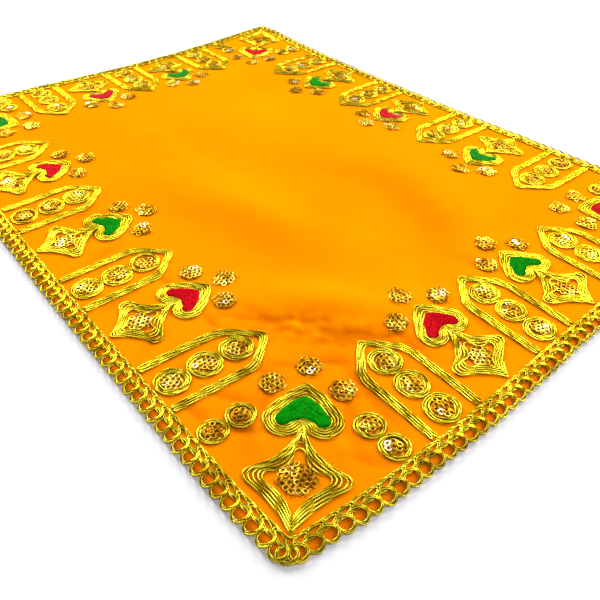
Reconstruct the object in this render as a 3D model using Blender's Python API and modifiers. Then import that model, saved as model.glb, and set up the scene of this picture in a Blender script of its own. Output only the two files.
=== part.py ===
"""Altar cloth: a rectangular cloth laid flat, with a looped ring edging and gold cord work round its border.

The long side runs along X, the short side along Y, and Z is up. The origin is at the middle of the underside.
Plan positions on a side are given as (s, d): s along the side from its start corner, d inward from the edge.
"""

import math
from typing import NamedTuple

import bmesh
import bpy

MM = 0.001
COLLECTION_NAME = "altar_cloth"

# Sheet
LONG_SIDE = 406.4 * MM
SHORT_SIDE = 304.8 * MM
CLOTH_THICK = 1.5 * MM
LONG_CELLS = 28
SHORT_CELLS = 21
CELL_GRADE = 0.66
CORNER_SEGMENTS = 4
GAP = 0.3 * MM

# Looped ring edging
EDGE_RADIUS = 9.0 * MM
EDGING_WIDTH = 8.5 * MM
EDGING_THICK = 1.3 * MM
EDGING_OVERHANG = 0.6 * MM
LONG_LOOPS = 66
SHORT_LOOPS = 50
LOOP_DEPTH = 3.3 * MM
LOOP_HALF_ALONG = 2.15 * MM
LOOP_HALF_ACROSS = 2.45 * MM
LOOP_SIDES = 6
SCALLOP_VALLEY = 1.3 * MM
LOOPS_PER_PANEL = 2

# Cord work
CORD_THICK = 1.2 * MM
MOTIF_BASE = EDGING_WIDTH + GAP

# Pointed arch with its chain of three circles
ARCH_HALF_WIDTH = 12.75 * MM
ARCH_BAND = 4.4 * MM
ARCH_SHOULDER = 45.3 * MM
ARCH_TIP = 60.0 * MM
ARCH_BEND_CUT = 2.2 * MM
ARCH_TIP_HALF = 0.9 * MM
CHAIN_RADIUS = 7.5 * MM
CHAIN_PITCH = 14.6 * MM
CHAIN_FIRST = MOTIF_BASE + CHAIN_RADIUS + 0.1 * MM
CHAIN_STEPS = 4

# Pair of small circles beside each corner
PAIR_RADIUS = 6.1 * MM
PAIR_PITCH = 11.9 * MM
PAIR_FIRST = MOTIF_BASE + PAIR_RADIUS + 0.1 * MM
PAIR_STATION = 59.4 * MM
PAIR_STEPS = 5

# Heart
HEART_HALF_WIDTH = 13.7 * MM
HEART_DEPTH = 25.0 * MM
HEART_LOBE = 7.2 * MM
HEART_BAND = 4.7 * MM
HEART_LOBE_STEPS = 4
HEART_NECK = 2.1 * MM
FILL_THICK = 1.5 * MM

# Diamond between the heart and the edging
DIAMOND_BAND = 4.2 * MM
DIAMOND_SAG = 1.7 * MM
DIAMOND_POINT = 1.1 * MM
WINDOW_END = 1.4
WINDOW_SIDE = 1.35
NECK_DROP = 1.0 * MM

# Fading of the outline's pull towards the middle of the cloth
PULL_FADE = 130.0 * MM
LAY_THRESHOLD = 0.15 * MM


class Side(NamedTuple):
    """One side of the plan, or a corner's diagonal, with its start point and its two directions."""

    start: tuple[float, float]
    along: tuple[float, float]
    inward: tuple[float, float]
    length: float


class HeartPlan(NamedTuple):
    """One heart motif: depths of the diamond's near point and middle, its half width, how hollow its far sides are,
    the depth of the heart's tip, and the heart's scale."""

    near: float
    middle: float
    half_width: float
    hollow: float
    tip: float
    heart_scale: float


class Station(NamedTuple):
    """One motif on a side: its kind, its place along the side in mm, and how far it leans per mm inward."""

    kind: str
    at: float
    lean: float
    colour: str


class CornerStation(NamedTuple):
    """One corner motif: its corner, its lean and its heart's colour."""

    corner: str
    lean: float
    colour: str


class Pull(NamedTuple):
    """A stretch where the edge bows: side, centre and reach along it in mm, and how far outward in mm."""

    side: str
    at: float
    reach: float
    outward: float


class Fold(NamedTuple):
    """One soft fold in mm from the front right corner, along the long side (u) and the short side (v)."""

    u: float
    v: float
    heading: float
    half_length: float
    half_width: float
    rise: float


HALF_LONG = LONG_SIDE / 2
HALF_SHORT = SHORT_SIDE / 2
DIAGONAL = math.sqrt(0.5)

SIDES = {
    "front": Side((HALF_LONG, -HALF_SHORT), (-1.0, 0.0), (0.0, 1.0), LONG_SIDE),
    "right": Side((HALF_LONG, -HALF_SHORT), (0.0, 1.0), (-1.0, 0.0), SHORT_SIDE),
    "back": Side((HALF_LONG, HALF_SHORT), (-1.0, 0.0), (0.0, -1.0), LONG_SIDE),
    "left": Side((-HALF_LONG, -HALF_SHORT), (0.0, 1.0), (1.0, 0.0), SHORT_SIDE),
}

CORNERS = {
    "front_right": Side((HALF_LONG, -HALF_SHORT), (-DIAGONAL, -DIAGONAL), (-DIAGONAL, DIAGONAL), 0.0),
    "front_left": Side((-HALF_LONG, -HALF_SHORT), (-DIAGONAL, DIAGONAL), (DIAGONAL, DIAGONAL), 0.0),
    "back_right": Side((HALF_LONG, HALF_SHORT), (-DIAGONAL, DIAGONAL), (-DIAGONAL, -DIAGONAL), 0.0),
    "back_left": Side((-HALF_LONG, HALF_SHORT), (-DIAGONAL, -DIAGONAL), (DIAGONAL, -DIAGONAL), 0.0),
}

SIDE_HEART = HeartPlan(MOTIF_BASE, 24.0 * MM, 15.6 * MM, 2.3 * MM, 61.6 * MM, 1.0)
CORNER_HEART = HeartPlan(13.8 * MM, 36.5 * MM, 18.8 * MM, 3.0 * MM, 80.6 * MM, 1.1)

STATIONS = {
    "front": (
        Station("arch", 90.3, -0.05, ""),
        Station("heart", 127.6, 0.03, "red"),
        Station("arch", 162.8, 0.01, ""),
        Station("heart", 204.2, -0.02, "green"),
        Station("arch", 239.0, 0.02, ""),
        Station("heart", 277.8, 0.01, "red"),
        Station("arch", 312.3, -0.01, ""),
    ),
    "right": (
        Station("arch", 86.0, 0.02, ""),
        Station("heart", 118.2, 0.06, "red"),
        Station("arch", 151.6, 0.02, ""),
        Station("heart", 184.6, -0.02, "green"),
        Station("arch", 216.8, 0.01, ""),
    ),
    "back": (
        Station("arch", 90.8, 0.01, ""),
        Station("heart", 128.2, -0.02, "green"),
        Station("arch", 164.0, 0.03, ""),
        Station("heart", 204.0, 0.02, "red"),
        Station("arch", 239.4, -0.02, ""),
        Station("heart", 278.4, 0.01, "green"),
        Station("arch", 313.4, 0.02, ""),
    ),
    "left": (
        Station("arch", 86.8, -0.02, ""),
        Station("heart", 119.4, 0.02, "red"),
        Station("arch", 151.8, 0.01, ""),
        Station("heart", 184.6, -0.01, "green"),
        Station("arch", 216.6, 0.02, ""),
    ),
}

CORNER_STATIONS = (
    CornerStation("front_right", 0.01, "green"),
    CornerStation("front_left", -0.02, "green"),
    CornerStation("back_right", 0.02, "red"),
    CornerStation("back_left", -0.01, "red"),
)

PULLS = (
    Pull("front", 0.0, 26.0, -2.6),
    Pull("front", 165.0, 75.0, 1.2),
    Pull("right", 0.0, 28.0, -4.2),
    Pull("right", 98.0, 45.0, 2.0),
    Pull("back", 205.0, 120.0, -3.0),
    Pull("back", 406.0, 45.0, 1.6),
    Pull("left", 165.0, 62.0, -4.0),
    Pull("left", 305.0, 42.0, 3.4),
)

FOLDS = (
    Fold(88.0, 94.5, -38.0, 28.0, 11.0, 2.8),
    Fold(168.0, 114.0, -16.0, 62.0, 18.0, 2.8),
    Fold(122.0, 203.0, 22.0, 52.0, 18.0, 2.6),
    Fold(252.0, 164.0, -48.0, 78.0, 38.0, 2.4),
    Fold(322.0, 206.0, 62.0, 48.0, 26.0, 1.6),
    Fold(406.4, 304.8, 35.0, 58.0, 58.0, 2.4),
    Fold(68.0, 42.0, 52.0, 34.0, 20.0, 0.6),
    Fold(40.0, 74.0, 24.0, 34.0, 20.0, 0.5),
    Fold(112.0, 40.0, 80.0, 36.0, 18.0, 0.5),
)


class Finish(NamedTuple):
    """A plain finish: display colour (0 to 255), roughness and metallic value."""

    colour: tuple[int, int, int]
    roughness: float
    metallic: float


FINISHES = {
    "orange_cloth": Finish((255, 160, 10), 0.75, 0.0),
    "ring_braid": Finish((226, 196, 30), 0.38, 0.7),
    "gold_cord": Finish((232, 208, 36), 0.36, 0.7),
    "green_stitch": Finish((0, 140, 10), 0.5, 0.0),
    "red_stitch": Finish((205, 20, 40), 0.5, 0.0),
}


def clear_scene() -> None:
    """Removes every object that the opened file holds."""
    for item in list(bpy.data.objects):
        bpy.data.objects.remove(item, do_unlink=True)


def make_collection(name: str) -> bpy.types.Collection:
    """Makes a collection and links it to the scene."""
    collection = bpy.data.collections.new(name)
    bpy.context.scene.collection.children.link(collection)
    return collection


def linear(channel: int) -> float:
    """Turns a display colour channel into the linear value that a shader takes."""
    value = channel / 255
    return value / 12.92 if value <= 0.04045 else ((value + 0.055) / 1.055) ** 2.4


def make_material(name: str, finish: Finish) -> bpy.types.Material:
    """Makes a Principled material from a plain finish."""
    material = bpy.data.materials.new(name)
    material.use_nodes = True
    shader = material.node_tree.nodes["Principled BSDF"]
    colour = [linear(channel) for channel in finish.colour]
    shader.inputs["Base Color"].default_value = (*colour, 1.0)
    shader.inputs["Roughness"].default_value = finish.roughness
    shader.inputs["Metallic"].default_value = finish.metallic
    material.diffuse_color = (*colour, 1.0)
    return material


def bell(distance: float, reach: float) -> float:
    """A smooth bump that is 1 at no distance and fades out past its reach."""
    return math.exp(-((distance / reach) ** 2))


def side_place(side: Side, s: float, d: float) -> tuple[float, float]:
    """Turns a place on a side into plan coordinates."""
    x = side.start[0] + side.along[0] * s + side.inward[0] * d
    y = side.start[1] + side.along[1] * s + side.inward[1] * d
    return x, y


def pulled(x: float, y: float) -> tuple[float, float]:
    """Moves a plan point with the uneven outline: most at the edge, and not at all in the middle."""
    moved_x = x
    moved_y = y
    for pull in PULLS:
        side = SIDES[pull.side]
        from_start = (x - side.start[0], y - side.start[1])
        s = from_start[0] * side.along[0] + from_start[1] * side.along[1]
        d = from_start[0] * side.inward[0] + from_start[1] * side.inward[1]
        fade = max(0.0, 1.0 - max(0.0, d) / PULL_FADE) ** 2
        shift = pull.outward * MM * bell(s - pull.at * MM, pull.reach * MM) * fade
        moved_x -= side.inward[0] * shift
        moved_y -= side.inward[1] * shift
    return moved_x, moved_y


def lay_height(x: float, y: float) -> float:
    """Height of the cloth's underside above the surface it lies on: 0 where it touches."""
    u = HALF_LONG - x
    v = y + HALF_SHORT
    height = 0.0
    for fold in FOLDS:
        turn = math.radians(fold.heading)
        away_u = u - fold.u * MM
        away_v = v - fold.v * MM
        along = away_u * math.cos(turn) + away_v * math.sin(turn)
        across = away_v * math.cos(turn) - away_u * math.sin(turn)
        height += fold.rise * MM * bell(along, fold.half_length * MM) * bell(across, fold.half_width * MM)
    return max(0.0, height - LAY_THRESHOLD)


def arc(centre: tuple[float, float], radius: float, start: float, end: float, steps: int) -> list:
    """Points on an arc from one angle to another, in degrees, ends included."""
    points = []
    for step in range(steps + 1):
        angle = math.radians(start + (end - start) * step / steps)
        points.append((centre[0] + radius * math.cos(angle), centre[1] + radius * math.sin(angle)))
    return points


def mirrored(half: list) -> list:
    """Closes a half outline, drawn from its near end to its far end, with its mirror image."""
    return half + [(-s, d) for s, d in reversed(half) if s > 0.0]


def chain_half(first: float, pitch: float, radius: float, count: int, steps: int, last_end: float) -> list:
    """Right half of the outline of touching circles in a row, up to an angle on the last one."""
    joint = math.degrees(math.acos(pitch / 2 / radius))
    points = []
    for index in range(count):
        centre = (0.0, first + index * pitch)
        start = -90.0 if index == 0 else -90.0 + joint
        end = last_end if index == count - 1 else 90.0 - joint
        points += arc(centre, radius, start, end, steps)[0 if index == 0 else 1:]
    points[0] = (0.0, points[0][1])
    return points


def arch_loops() -> list[list]:
    """Loops of the arch panel: its band and the circle chain that touches the roof from inside."""
    outer = ARCH_HALF_WIDTH + ARCH_BAND / 2
    inner = ARCH_HALF_WIDTH - ARCH_BAND / 2
    roof = math.atan2(ARCH_TIP - ARCH_SHOULDER, ARCH_HALF_WIDTH)
    tip_shift = ARCH_BAND / 2 / math.cos(roof)
    outer_tip = ARCH_TIP + tip_shift
    inner_tip = ARCH_TIP - tip_shift
    slope = math.tan(roof)
    outer_bend = outer_tip - outer * slope
    inner_bend = inner_tip - inner * slope
    last_centre = CHAIN_FIRST + 2 * CHAIN_PITCH
    reach = (inner_tip - last_centre) * math.cos(roof)
    contact = math.degrees(math.acos(reach / CHAIN_RADIUS))
    towards_roof = 90.0 - math.degrees(roof)
    chain = chain_half(
        CHAIN_FIRST, CHAIN_PITCH, CHAIN_RADIUS, 3, CHAIN_STEPS, towards_roof - contact
    )
    half = chain + [
        (inner, inner_bend),
        (inner, MOTIF_BASE),
        (outer, MOTIF_BASE),
        (outer, outer_bend - ARCH_BEND_CUT),
        (outer - ARCH_BEND_CUT * math.cos(roof), outer_bend + ARCH_BEND_CUT * math.sin(roof)),
        (ARCH_TIP_HALF, outer_tip - ARCH_TIP_HALF * slope),
    ]
    top = arc((0.0, last_centre), CHAIN_RADIUS, 90.0, towards_roof + contact, 2)
    top[0] = (0.0, top[0][1])
    window = top + [(0.0, inner_tip)] + [(-s, d) for s, d in reversed(top) if s > 0.0]
    return [mirrored(half), window]


def pair_loops() -> list[list]:
    """The loop of two small circles that touch."""
    half = chain_half(PAIR_FIRST, PAIR_PITCH, PAIR_RADIUS, 2, PAIR_STEPS, 90.0)
    half[-1] = (0.0, half[-1][1])
    return [mirrored(half)]


def heart_start(plan: HeartPlan) -> float:
    """Depth at which the heart's lobes start."""
    return plan.tip - HEART_DEPTH * plan.heart_scale


def heart_half(plan: HeartPlan, inset: float) -> list:
    """Right half of a heart from its cleft to its tip, drawn in from the outer outline by an inset."""
    full_lobe = HEART_LOBE * plan.heart_scale
    lobe = full_lobe - inset
    middle = (HEART_HALF_WIDTH * plan.heart_scale - full_lobe, heart_start(plan) + full_lobe)
    reach = math.hypot(middle[0], plan.tip - middle[1])
    flank = math.acos(full_lobe / reach) + math.atan2(plan.tip - middle[1], -middle[0])
    turned = math.degrees(flank - 2 * math.acos(full_lobe / reach))
    cleft = -180.0 + math.degrees(math.acos(min(1.0, middle[0] / max(lobe, middle[0]))))
    points = arc(middle, lobe, cleft, turned, HEART_LOBE_STEPS)
    if lobe <= middle[0]:
        points = [(0.0, middle[1] - lobe / 3)] + points[1:]
    else:
        points[0] = (0.0, points[0][1])
    flank_slope = math.sin(math.radians(turned))
    return points + [(0.0, plan.tip - inset / flank_slope)]


def diamond_half(plan: HeartPlan, inset: float) -> list:
    """Right half of a diamond with hollow sides, from its near point to its far one."""
    far = heart_start(plan) + NECK_DROP - inset * WINDOW_END
    near = plan.near + inset * WINDOW_END
    half = plan.half_width - inset * WINDOW_SIDE
    point = DIAMOND_POINT if inset == 0.0 else 0.0
    lower = ((point + half) / 2 - DIAMOND_SAG * DIAGONAL, (near + plan.middle) / 2 + DIAMOND_SAG * DIAGONAL)
    upper = ((point + half) / 2 - plan.hollow * DIAGONAL, (far + plan.middle) / 2 - plan.hollow * DIAGONAL)
    side_point = [(half, plan.middle - point), (half, plan.middle + point)] if point else [(half, plan.middle)]
    return [(point, near), lower, *side_point, upper, (0.0, far)]


def heart_motif_loops(plan: HeartPlan) -> list[list]:
    """Loops of a diamond and a heart worked as one: the outline round both and their two windows."""
    outside_heart = [point for point in heart_half(plan, 0.0) if point[0] > HEART_NECK or point[1] > plan.tip - MM]
    lobe_start = outside_heart[0]
    neck = (HEART_NECK, min(lobe_start[1], heart_start(plan) + HEART_LOBE / 2))
    outside = diamond_half(plan, 0.0)[:-1] + [neck] + outside_heart
    return [
        mirrored(outside),
        mirrored(diamond_half(plan, DIAMOND_BAND)),
        mirrored(heart_half(plan, HEART_BAND * plan.heart_scale)),
    ]


def edging_point(length: float, along: float, depth: float) -> tuple[float, float]:
    """A place on one side's edging: distance along the line of loop centres, and depth from the edge."""
    centre_radius = EDGE_RADIUS - LOOP_DEPTH
    corner = centre_radius * math.pi / 4
    total = 2 * corner + length - 2 * EDGE_RADIUS
    from_end = min(along, total - along)
    if from_end >= corner:
        return EDGE_RADIUS + along - corner, depth
    angle = math.radians(225.0) + from_end / centre_radius
    s = EDGE_RADIUS + (EDGE_RADIUS - depth) * math.cos(angle)
    d = EDGE_RADIUS + (EDGE_RADIUS - depth) * math.sin(angle)
    return (s, d) if along < total / 2 else (length - s, d)


def edging_panels(length: float, count: int) -> list[list[list]]:
    """Loops of one side's edging, a panel for every two rings so that the strip bends evenly with the side's bow.

    Each panel is a piece of the scalloped strip with the open middles of its rings. The first and the last panel
    hold one ring and end at the corner's mitre.
    """
    total = (EDGE_RADIUS - LOOP_DEPTH) * math.pi / 2 + length - 2 * EDGE_RADIUS
    pitch = total / count
    marks = [0, *range(1, count, LOOPS_PER_PANEL), count]
    outer_end = GAP / 2
    inner_end = EDGING_WIDTH + GAP
    panels = []
    for first, last in zip(marks, marks[1:]):
        valleys = [min(max(mark * pitch, outer_end), total - outer_end) for mark in range(first, last + 1)]
        strip = [edging_point(length, valleys[0], SCALLOP_VALLEY)]
        for index, valley in zip(range(first, last), valleys[1:]):
            strip.append(edging_point(length, (index + 0.5) * pitch, 0.0))
            strip.append(edging_point(length, valley, SCALLOP_VALLEY))
        inner_first = inner_end if first == 0 else strip[0][0]
        inner_last = length - inner_end if last == count else strip[-1][0]
        strip += [(inner_last, EDGING_WIDTH), (inner_first, EDGING_WIDTH)]
        rings = []
        for index in range(first, last):
            ring = []
            for corner in range(LOOP_SIDES):
                angle = math.radians(90.0 + 360.0 * corner / LOOP_SIDES)
                along = (index + 0.5) * pitch + LOOP_HALF_ALONG * math.cos(angle)
                ring.append(edging_point(length, along, LOOP_DEPTH + LOOP_HALF_ACROSS * math.sin(angle)))
            rings.append(ring)
        panels.append([strip, *rings])
    return panels


def filled_panel(loops: list[list]) -> bpy.types.Mesh:
    """Fills closed outlines, with their holes, as one flat face set at height 0."""
    curve = bpy.data.curves.new("panel", "CURVE")
    curve.dimensions = "2D"
    curve.fill_mode = "FRONT"
    for loop in loops:
        spline = curve.splines.new("POLY")
        spline.points.add(len(loop) - 1)
        for point, place in zip(spline.points, loop):
            point.co = (place[0], place[1], 0.0, 1.0)
        spline.use_cyclic_u = True
    drawn = bpy.data.objects.new("panel", curve)
    bpy.context.scene.collection.objects.link(drawn)
    depsgraph = bpy.context.evaluated_depsgraph_get()
    mesh = bpy.data.meshes.new_from_object(drawn.evaluated_get(depsgraph))
    bpy.data.objects.remove(drawn, do_unlink=True)
    return mesh


def plate_mesh(name: str, panels: list[list[list]], thickness: float) -> bpy.types.Mesh:
    """Joins filled panels that share edges into one flat plate, its underside at height 0."""
    shape = bmesh.new()
    for loops in panels:
        panel = filled_panel(loops)
        shape.from_mesh(panel)
        bpy.data.meshes.remove(panel)
    bmesh.ops.remove_doubles(shape, verts=shape.verts, dist=0.01 * MM)
    grown = bmesh.ops.extrude_face_region(shape, geom=shape.faces[:])
    raised = [item for item in grown["geom"] if isinstance(item, bmesh.types.BMVert)]
    bmesh.ops.translate(shape, verts=raised, vec=(0.0, 0.0, thickness))
    bmesh.ops.triangulate(shape, faces=shape.faces)
    mesh = bpy.data.meshes.new(name)
    shape.to_mesh(mesh)
    shape.free()
    return mesh


def add_object(name: str, mesh: bpy.types.Mesh, material: bpy.types.Material,
               collection: bpy.types.Collection) -> bpy.types.Object:
    """Links a mesh to the collection as a named object with its material."""
    mesh.name = name
    mesh.materials.clear()
    mesh.materials.append(material)
    made = bpy.data.objects.new(name, mesh)
    collection.objects.link(made)
    return made


def laid_copy(flat: bpy.types.Mesh, side: Side, station: float, lean: float) -> bpy.types.Mesh:
    """Copies a flat piece to its place on a side and lets it follow the cloth, a small gap above it.

    A leaning piece shifts along the side as it goes inward, so its base stays parallel to the edging.
    """
    mesh = flat.copy()
    shape = bmesh.new()
    shape.from_mesh(mesh)
    for vertex in shape.verts:
        s = station + vertex.co.x + lean * (vertex.co.y - MOTIF_BASE)
        x, y = side_place(side, s, vertex.co.y)
        height = CLOTH_THICK + GAP + vertex.co.z + lay_height(x, y)
        vertex.co = (*pulled(x, y), height)
    bmesh.ops.recalc_face_normals(shape, faces=shape.faces)
    if shape.calc_volume(signed=True) < 0.0:
        bmesh.ops.reverse_faces(shape, faces=shape.faces)
    shape.to_mesh(mesh)
    shape.free()
    return mesh


def graded(fraction: float) -> float:
    """Sets grid lines closer together near the front right corner, where the folds are tightest."""
    return CELL_GRADE * fraction + (1.0 - CELL_GRADE) * fraction**2


def build_ground_cloth(material: bpy.types.Material, collection: bpy.types.Collection) -> None:
    """Builds the sheet: a grid with rounded corners, laid in its folds, given its thickness downward."""
    mesh = bpy.data.meshes.new("ground_cloth")
    shape = bmesh.new()
    bmesh.ops.create_grid(shape, x_segments=LONG_CELLS, y_segments=SHORT_CELLS, size=0.5)
    half_long = HALF_LONG - EDGING_OVERHANG
    half_short = HALF_SHORT - EDGING_OVERHANG
    for vertex in shape.verts:
        vertex.co.x = half_long - 2 * half_long * graded(0.5 - vertex.co.x)
        vertex.co.y = 2 * half_short * graded(vertex.co.y + 0.5) - half_short
    corners = [vertex for vertex in shape.verts if len(vertex.link_edges) == 2]
    bmesh.ops.bevel(shape, geom=corners, offset=EDGE_RADIUS - EDGING_OVERHANG, offset_type="OFFSET",
                    segments=CORNER_SEGMENTS, profile=0.5, affect="VERTICES")
    for vertex in shape.verts:
        x, y = vertex.co.x, vertex.co.y
        vertex.co = (*pulled(x, y), CLOTH_THICK + lay_height(x, y))
    bmesh.ops.recalc_face_normals(shape, faces=shape.faces)
    if sum(face.normal.z for face in shape.faces) < 0.0:
        bmesh.ops.reverse_faces(shape, faces=shape.faces)
    shape.to_mesh(mesh)
    shape.free()
    made = add_object("ground_cloth", mesh, material, collection)
    thicken = made.modifiers.new("thickness", "SOLIDIFY")
    thicken.thickness = CLOTH_THICK
    thicken.offset = -1.0


def build_edging(material: bpy.types.Material, collection: bpy.types.Collection) -> None:
    """Lays one length of ring braid along each side, mitred at the corners."""
    for name, side in SIDES.items():
        count = LONG_LOOPS if side.length == LONG_SIDE else SHORT_LOOPS
        flat = plate_mesh("edging", edging_panels(side.length, count), EDGING_THICK)
        add_object(f"ring_edging_{name}", laid_copy(flat, side, 0.0, 0.0), material, collection)
        bpy.data.meshes.remove(flat)


def build_pairs(material: bpy.types.Material, collection: bpy.types.Collection) -> None:
    """Sets a pair of touching circles near both ends of every side."""
    flat = plate_mesh("pair", [pair_loops()], CORD_THICK)
    for name, side in SIDES.items():
        for number, station in enumerate((PAIR_STATION, side.length - PAIR_STATION), 1):
            add_object(f"circle_pair_{name}_{number}", laid_copy(flat, side, station, 0.0), material, collection)
    bpy.data.meshes.remove(flat)


def build_hearts(side: Side, plan: HeartPlan, name: str, station: float, lean: float, colour: str,
                 materials: dict, collection: bpy.types.Collection) -> None:
    """Builds one diamond and heart of couched cord, and the stitched fill in the heart's window."""
    flat = plate_mesh("heart", [heart_motif_loops(plan)], CORD_THICK)
    add_object(f"heart_cord_{name}", laid_copy(flat, side, station, lean), materials["gold_cord"], collection)
    bpy.data.meshes.remove(flat)
    window = mirrored(heart_half(plan, HEART_BAND * plan.heart_scale + GAP))
    flat = plate_mesh("fill", [[window]], FILL_THICK)
    fill = laid_copy(flat, side, station, lean)
    add_object(f"heart_fill_{name}", fill, materials[f"{colour}_stitch"], collection)
    bpy.data.meshes.remove(flat)


def build_motifs(materials: dict, collection: bpy.types.Collection) -> None:
    """Sets the arches and hearts along the sides, and a heart on each corner's diagonal."""
    arch = plate_mesh("arch", [arch_loops()], CORD_THICK)
    for side_name, stations in STATIONS.items():
        side = SIDES[side_name]
        numbers = {"arch": 0, "heart": 0}
        for station in stations:
            numbers[station.kind] += 1
            name = f"{side_name}_{numbers[station.kind]}"
            if station.kind == "arch":
                laid = laid_copy(arch, side, station.at * MM, station.lean)
                add_object(f"arch_cord_{name}", laid, materials["gold_cord"], collection)
            else:
                build_hearts(side, SIDE_HEART, name, station.at * MM, station.lean, station.colour,
                             materials, collection)
    bpy.data.meshes.remove(arch)
    for station in CORNER_STATIONS:
        build_hearts(CORNERS[station.corner], CORNER_HEART, station.corner, 0.0, station.lean,
                     station.colour, materials, collection)


def main() -> None:
    """Builds the whole altar cloth."""
    clear_scene()
    collection = make_collection(COLLECTION_NAME)
    materials = {name: make_material(name, finish) for name, finish in FINISHES.items()}
    build_ground_cloth(materials["orange_cloth"], collection)
    build_edging(materials["ring_braid"], collection)
    build_pairs(materials["gold_cord"], collection)
    build_motifs(materials, collection)


if __name__ == "__main__":
    main()
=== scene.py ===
"""Dresses the altar cloth: laid sheet, ring edging, couched cord, satin stitch, sequins, light and camera.

All sizes are in metres. A place on a side is (s, d): s along the side from its start corner, d inward from
the edge. The folds and the outline's uneven pull are those of the solids that the pieces stand on.
"""

import json
import logging
import math
from collections.abc import Iterable
from dataclasses import dataclass, field
from enum import Enum

import bpy
import numpy as np
from mathutils import Matrix, Vector


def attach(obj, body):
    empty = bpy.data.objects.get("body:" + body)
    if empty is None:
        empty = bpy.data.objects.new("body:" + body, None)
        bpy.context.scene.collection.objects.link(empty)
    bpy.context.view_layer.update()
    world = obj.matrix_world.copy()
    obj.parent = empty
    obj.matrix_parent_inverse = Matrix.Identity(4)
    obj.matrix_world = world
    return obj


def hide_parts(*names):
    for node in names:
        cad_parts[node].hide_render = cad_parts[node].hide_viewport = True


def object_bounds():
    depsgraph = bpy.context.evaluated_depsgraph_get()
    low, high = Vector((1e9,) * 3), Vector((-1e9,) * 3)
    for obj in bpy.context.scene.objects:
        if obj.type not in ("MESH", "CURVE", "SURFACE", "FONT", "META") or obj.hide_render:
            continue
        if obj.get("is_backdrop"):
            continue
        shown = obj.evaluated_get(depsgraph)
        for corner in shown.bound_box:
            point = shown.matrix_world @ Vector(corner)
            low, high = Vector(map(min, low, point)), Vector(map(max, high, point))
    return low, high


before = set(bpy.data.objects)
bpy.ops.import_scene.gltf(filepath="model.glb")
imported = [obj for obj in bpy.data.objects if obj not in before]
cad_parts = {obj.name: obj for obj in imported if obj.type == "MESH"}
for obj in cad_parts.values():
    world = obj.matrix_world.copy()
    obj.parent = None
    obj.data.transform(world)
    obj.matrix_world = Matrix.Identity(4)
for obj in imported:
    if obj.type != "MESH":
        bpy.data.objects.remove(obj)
CAD_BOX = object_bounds()

LOG = logging.getLogger("altar_cloth")

MM = 0.001
BODY = "root"
LONG_SIDE = 406.4 * MM
SHORT_SIDE = 304.8 * MM
HALF_LONG = LONG_SIDE / 2
HALF_SHORT = SHORT_SIDE / 2
DIAGONAL = math.sqrt(0.5)
CLOTH_THICK = 1.5 * MM
LOWEST_TOP = 0.55 * MM
EDGE_RADIUS = 9.0 * MM
EDGE_OVERHANG = 1.35 * MM
MOTIF_BASE = 8.8 * MM
PULL_FADE = 130.0 * MM
LAY_THRESHOLD = 0.15 * MM
# Heading towards the lamps; slopes turned from it get painted shade on the pile.
LAMP_HEADING = (-0.66, 0.75)
# Value of the pile's painted shade mask on flat cloth: lower is painted shade, higher painted light.
PAINTED_SHADE_PLAIN = 0.6
FREE_CLUSTER = 4.9 * MM
CLUSTERS_ROUND_TIP = ((13.6, -3.4), (-13.6, -3.4), (0.0, 7.0))
TINY = 1e-12
BLACK = (0, 0, 0)
WHITE = (255, 255, 255)

Row = np.ndarray
Colour = tuple[int, int, int]
Socket = bpy.types.NodeSocket
Draws = np.random.Generator


class Silk(Enum):
    """Thread colours of the stitched hearts."""

    GREEN = "green_stitch"
    RED = "red_stitch"


class Motif(Enum):
    """What stands at a station on a side."""

    ARCH = "arch"
    HEART = "heart"


@dataclass(frozen=True)
class Side:
    """One side, or a corner's diagonal: its start point, its two directions and its length."""

    start: tuple[float, float]
    along: tuple[float, float]
    inward: tuple[float, float]
    length: float = 0.0


@dataclass(frozen=True)
class Station:
    """A motif on a side: its kind, its place in mm, its lean per length inward, and its heart's silk."""

    kind: Motif
    at: float
    lean: float
    silk: Silk | None = None


@dataclass(frozen=True)
class Pull:
    """A stretch where the edge bows: side, centre, reach and outward shift, in mm."""

    side: str
    at: float
    reach: float
    outward: float


@dataclass(frozen=True)
class Fold:
    """A soft ridge, or a trough if its rise is negative.

    Its place and its sizes are in mm, measured from the front right corner.
    """

    u: float
    v: float
    heading: float
    half_length: float
    half_width: float
    rise: float


def by_turns(silk: Silk, *places: tuple[float, float]) -> tuple[Station, ...]:
    """Makes a side's stations: arches and hearts by turns, and the hearts' silks by turns.

    Args:
        silk: The first heart's silk.
        places: Place in mm and lean of each station.

    Returns:
        The stations.
    """
    other = Silk.GREEN if silk is Silk.RED else Silk.RED
    kinds = ((Motif.ARCH, None), (Motif.HEART, silk), (Motif.ARCH, None), (Motif.HEART, other))
    stations = []
    for number, (at, lean) in enumerate(places):
        kind, thread = kinds[number % len(kinds)]
        stations.append(Station(kind, at, lean, thread))
    return tuple(stations)


def folds(*rows: tuple[float, ...]) -> tuple[Fold, ...]:
    """Makes folds of rows that hold their sizes."""
    return tuple(Fold(*row) for row in rows)


SIDES = {
    "front": Side((HALF_LONG, -HALF_SHORT), (-1.0, 0.0), (0.0, 1.0), LONG_SIDE),
    "right": Side((HALF_LONG, -HALF_SHORT), (0.0, 1.0), (-1.0, 0.0), SHORT_SIDE),
    "back": Side((HALF_LONG, HALF_SHORT), (-1.0, 0.0), (0.0, -1.0), LONG_SIDE),
    "left": Side((-HALF_LONG, -HALF_SHORT), (0.0, 1.0), (1.0, 0.0), SHORT_SIDE),
}

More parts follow.
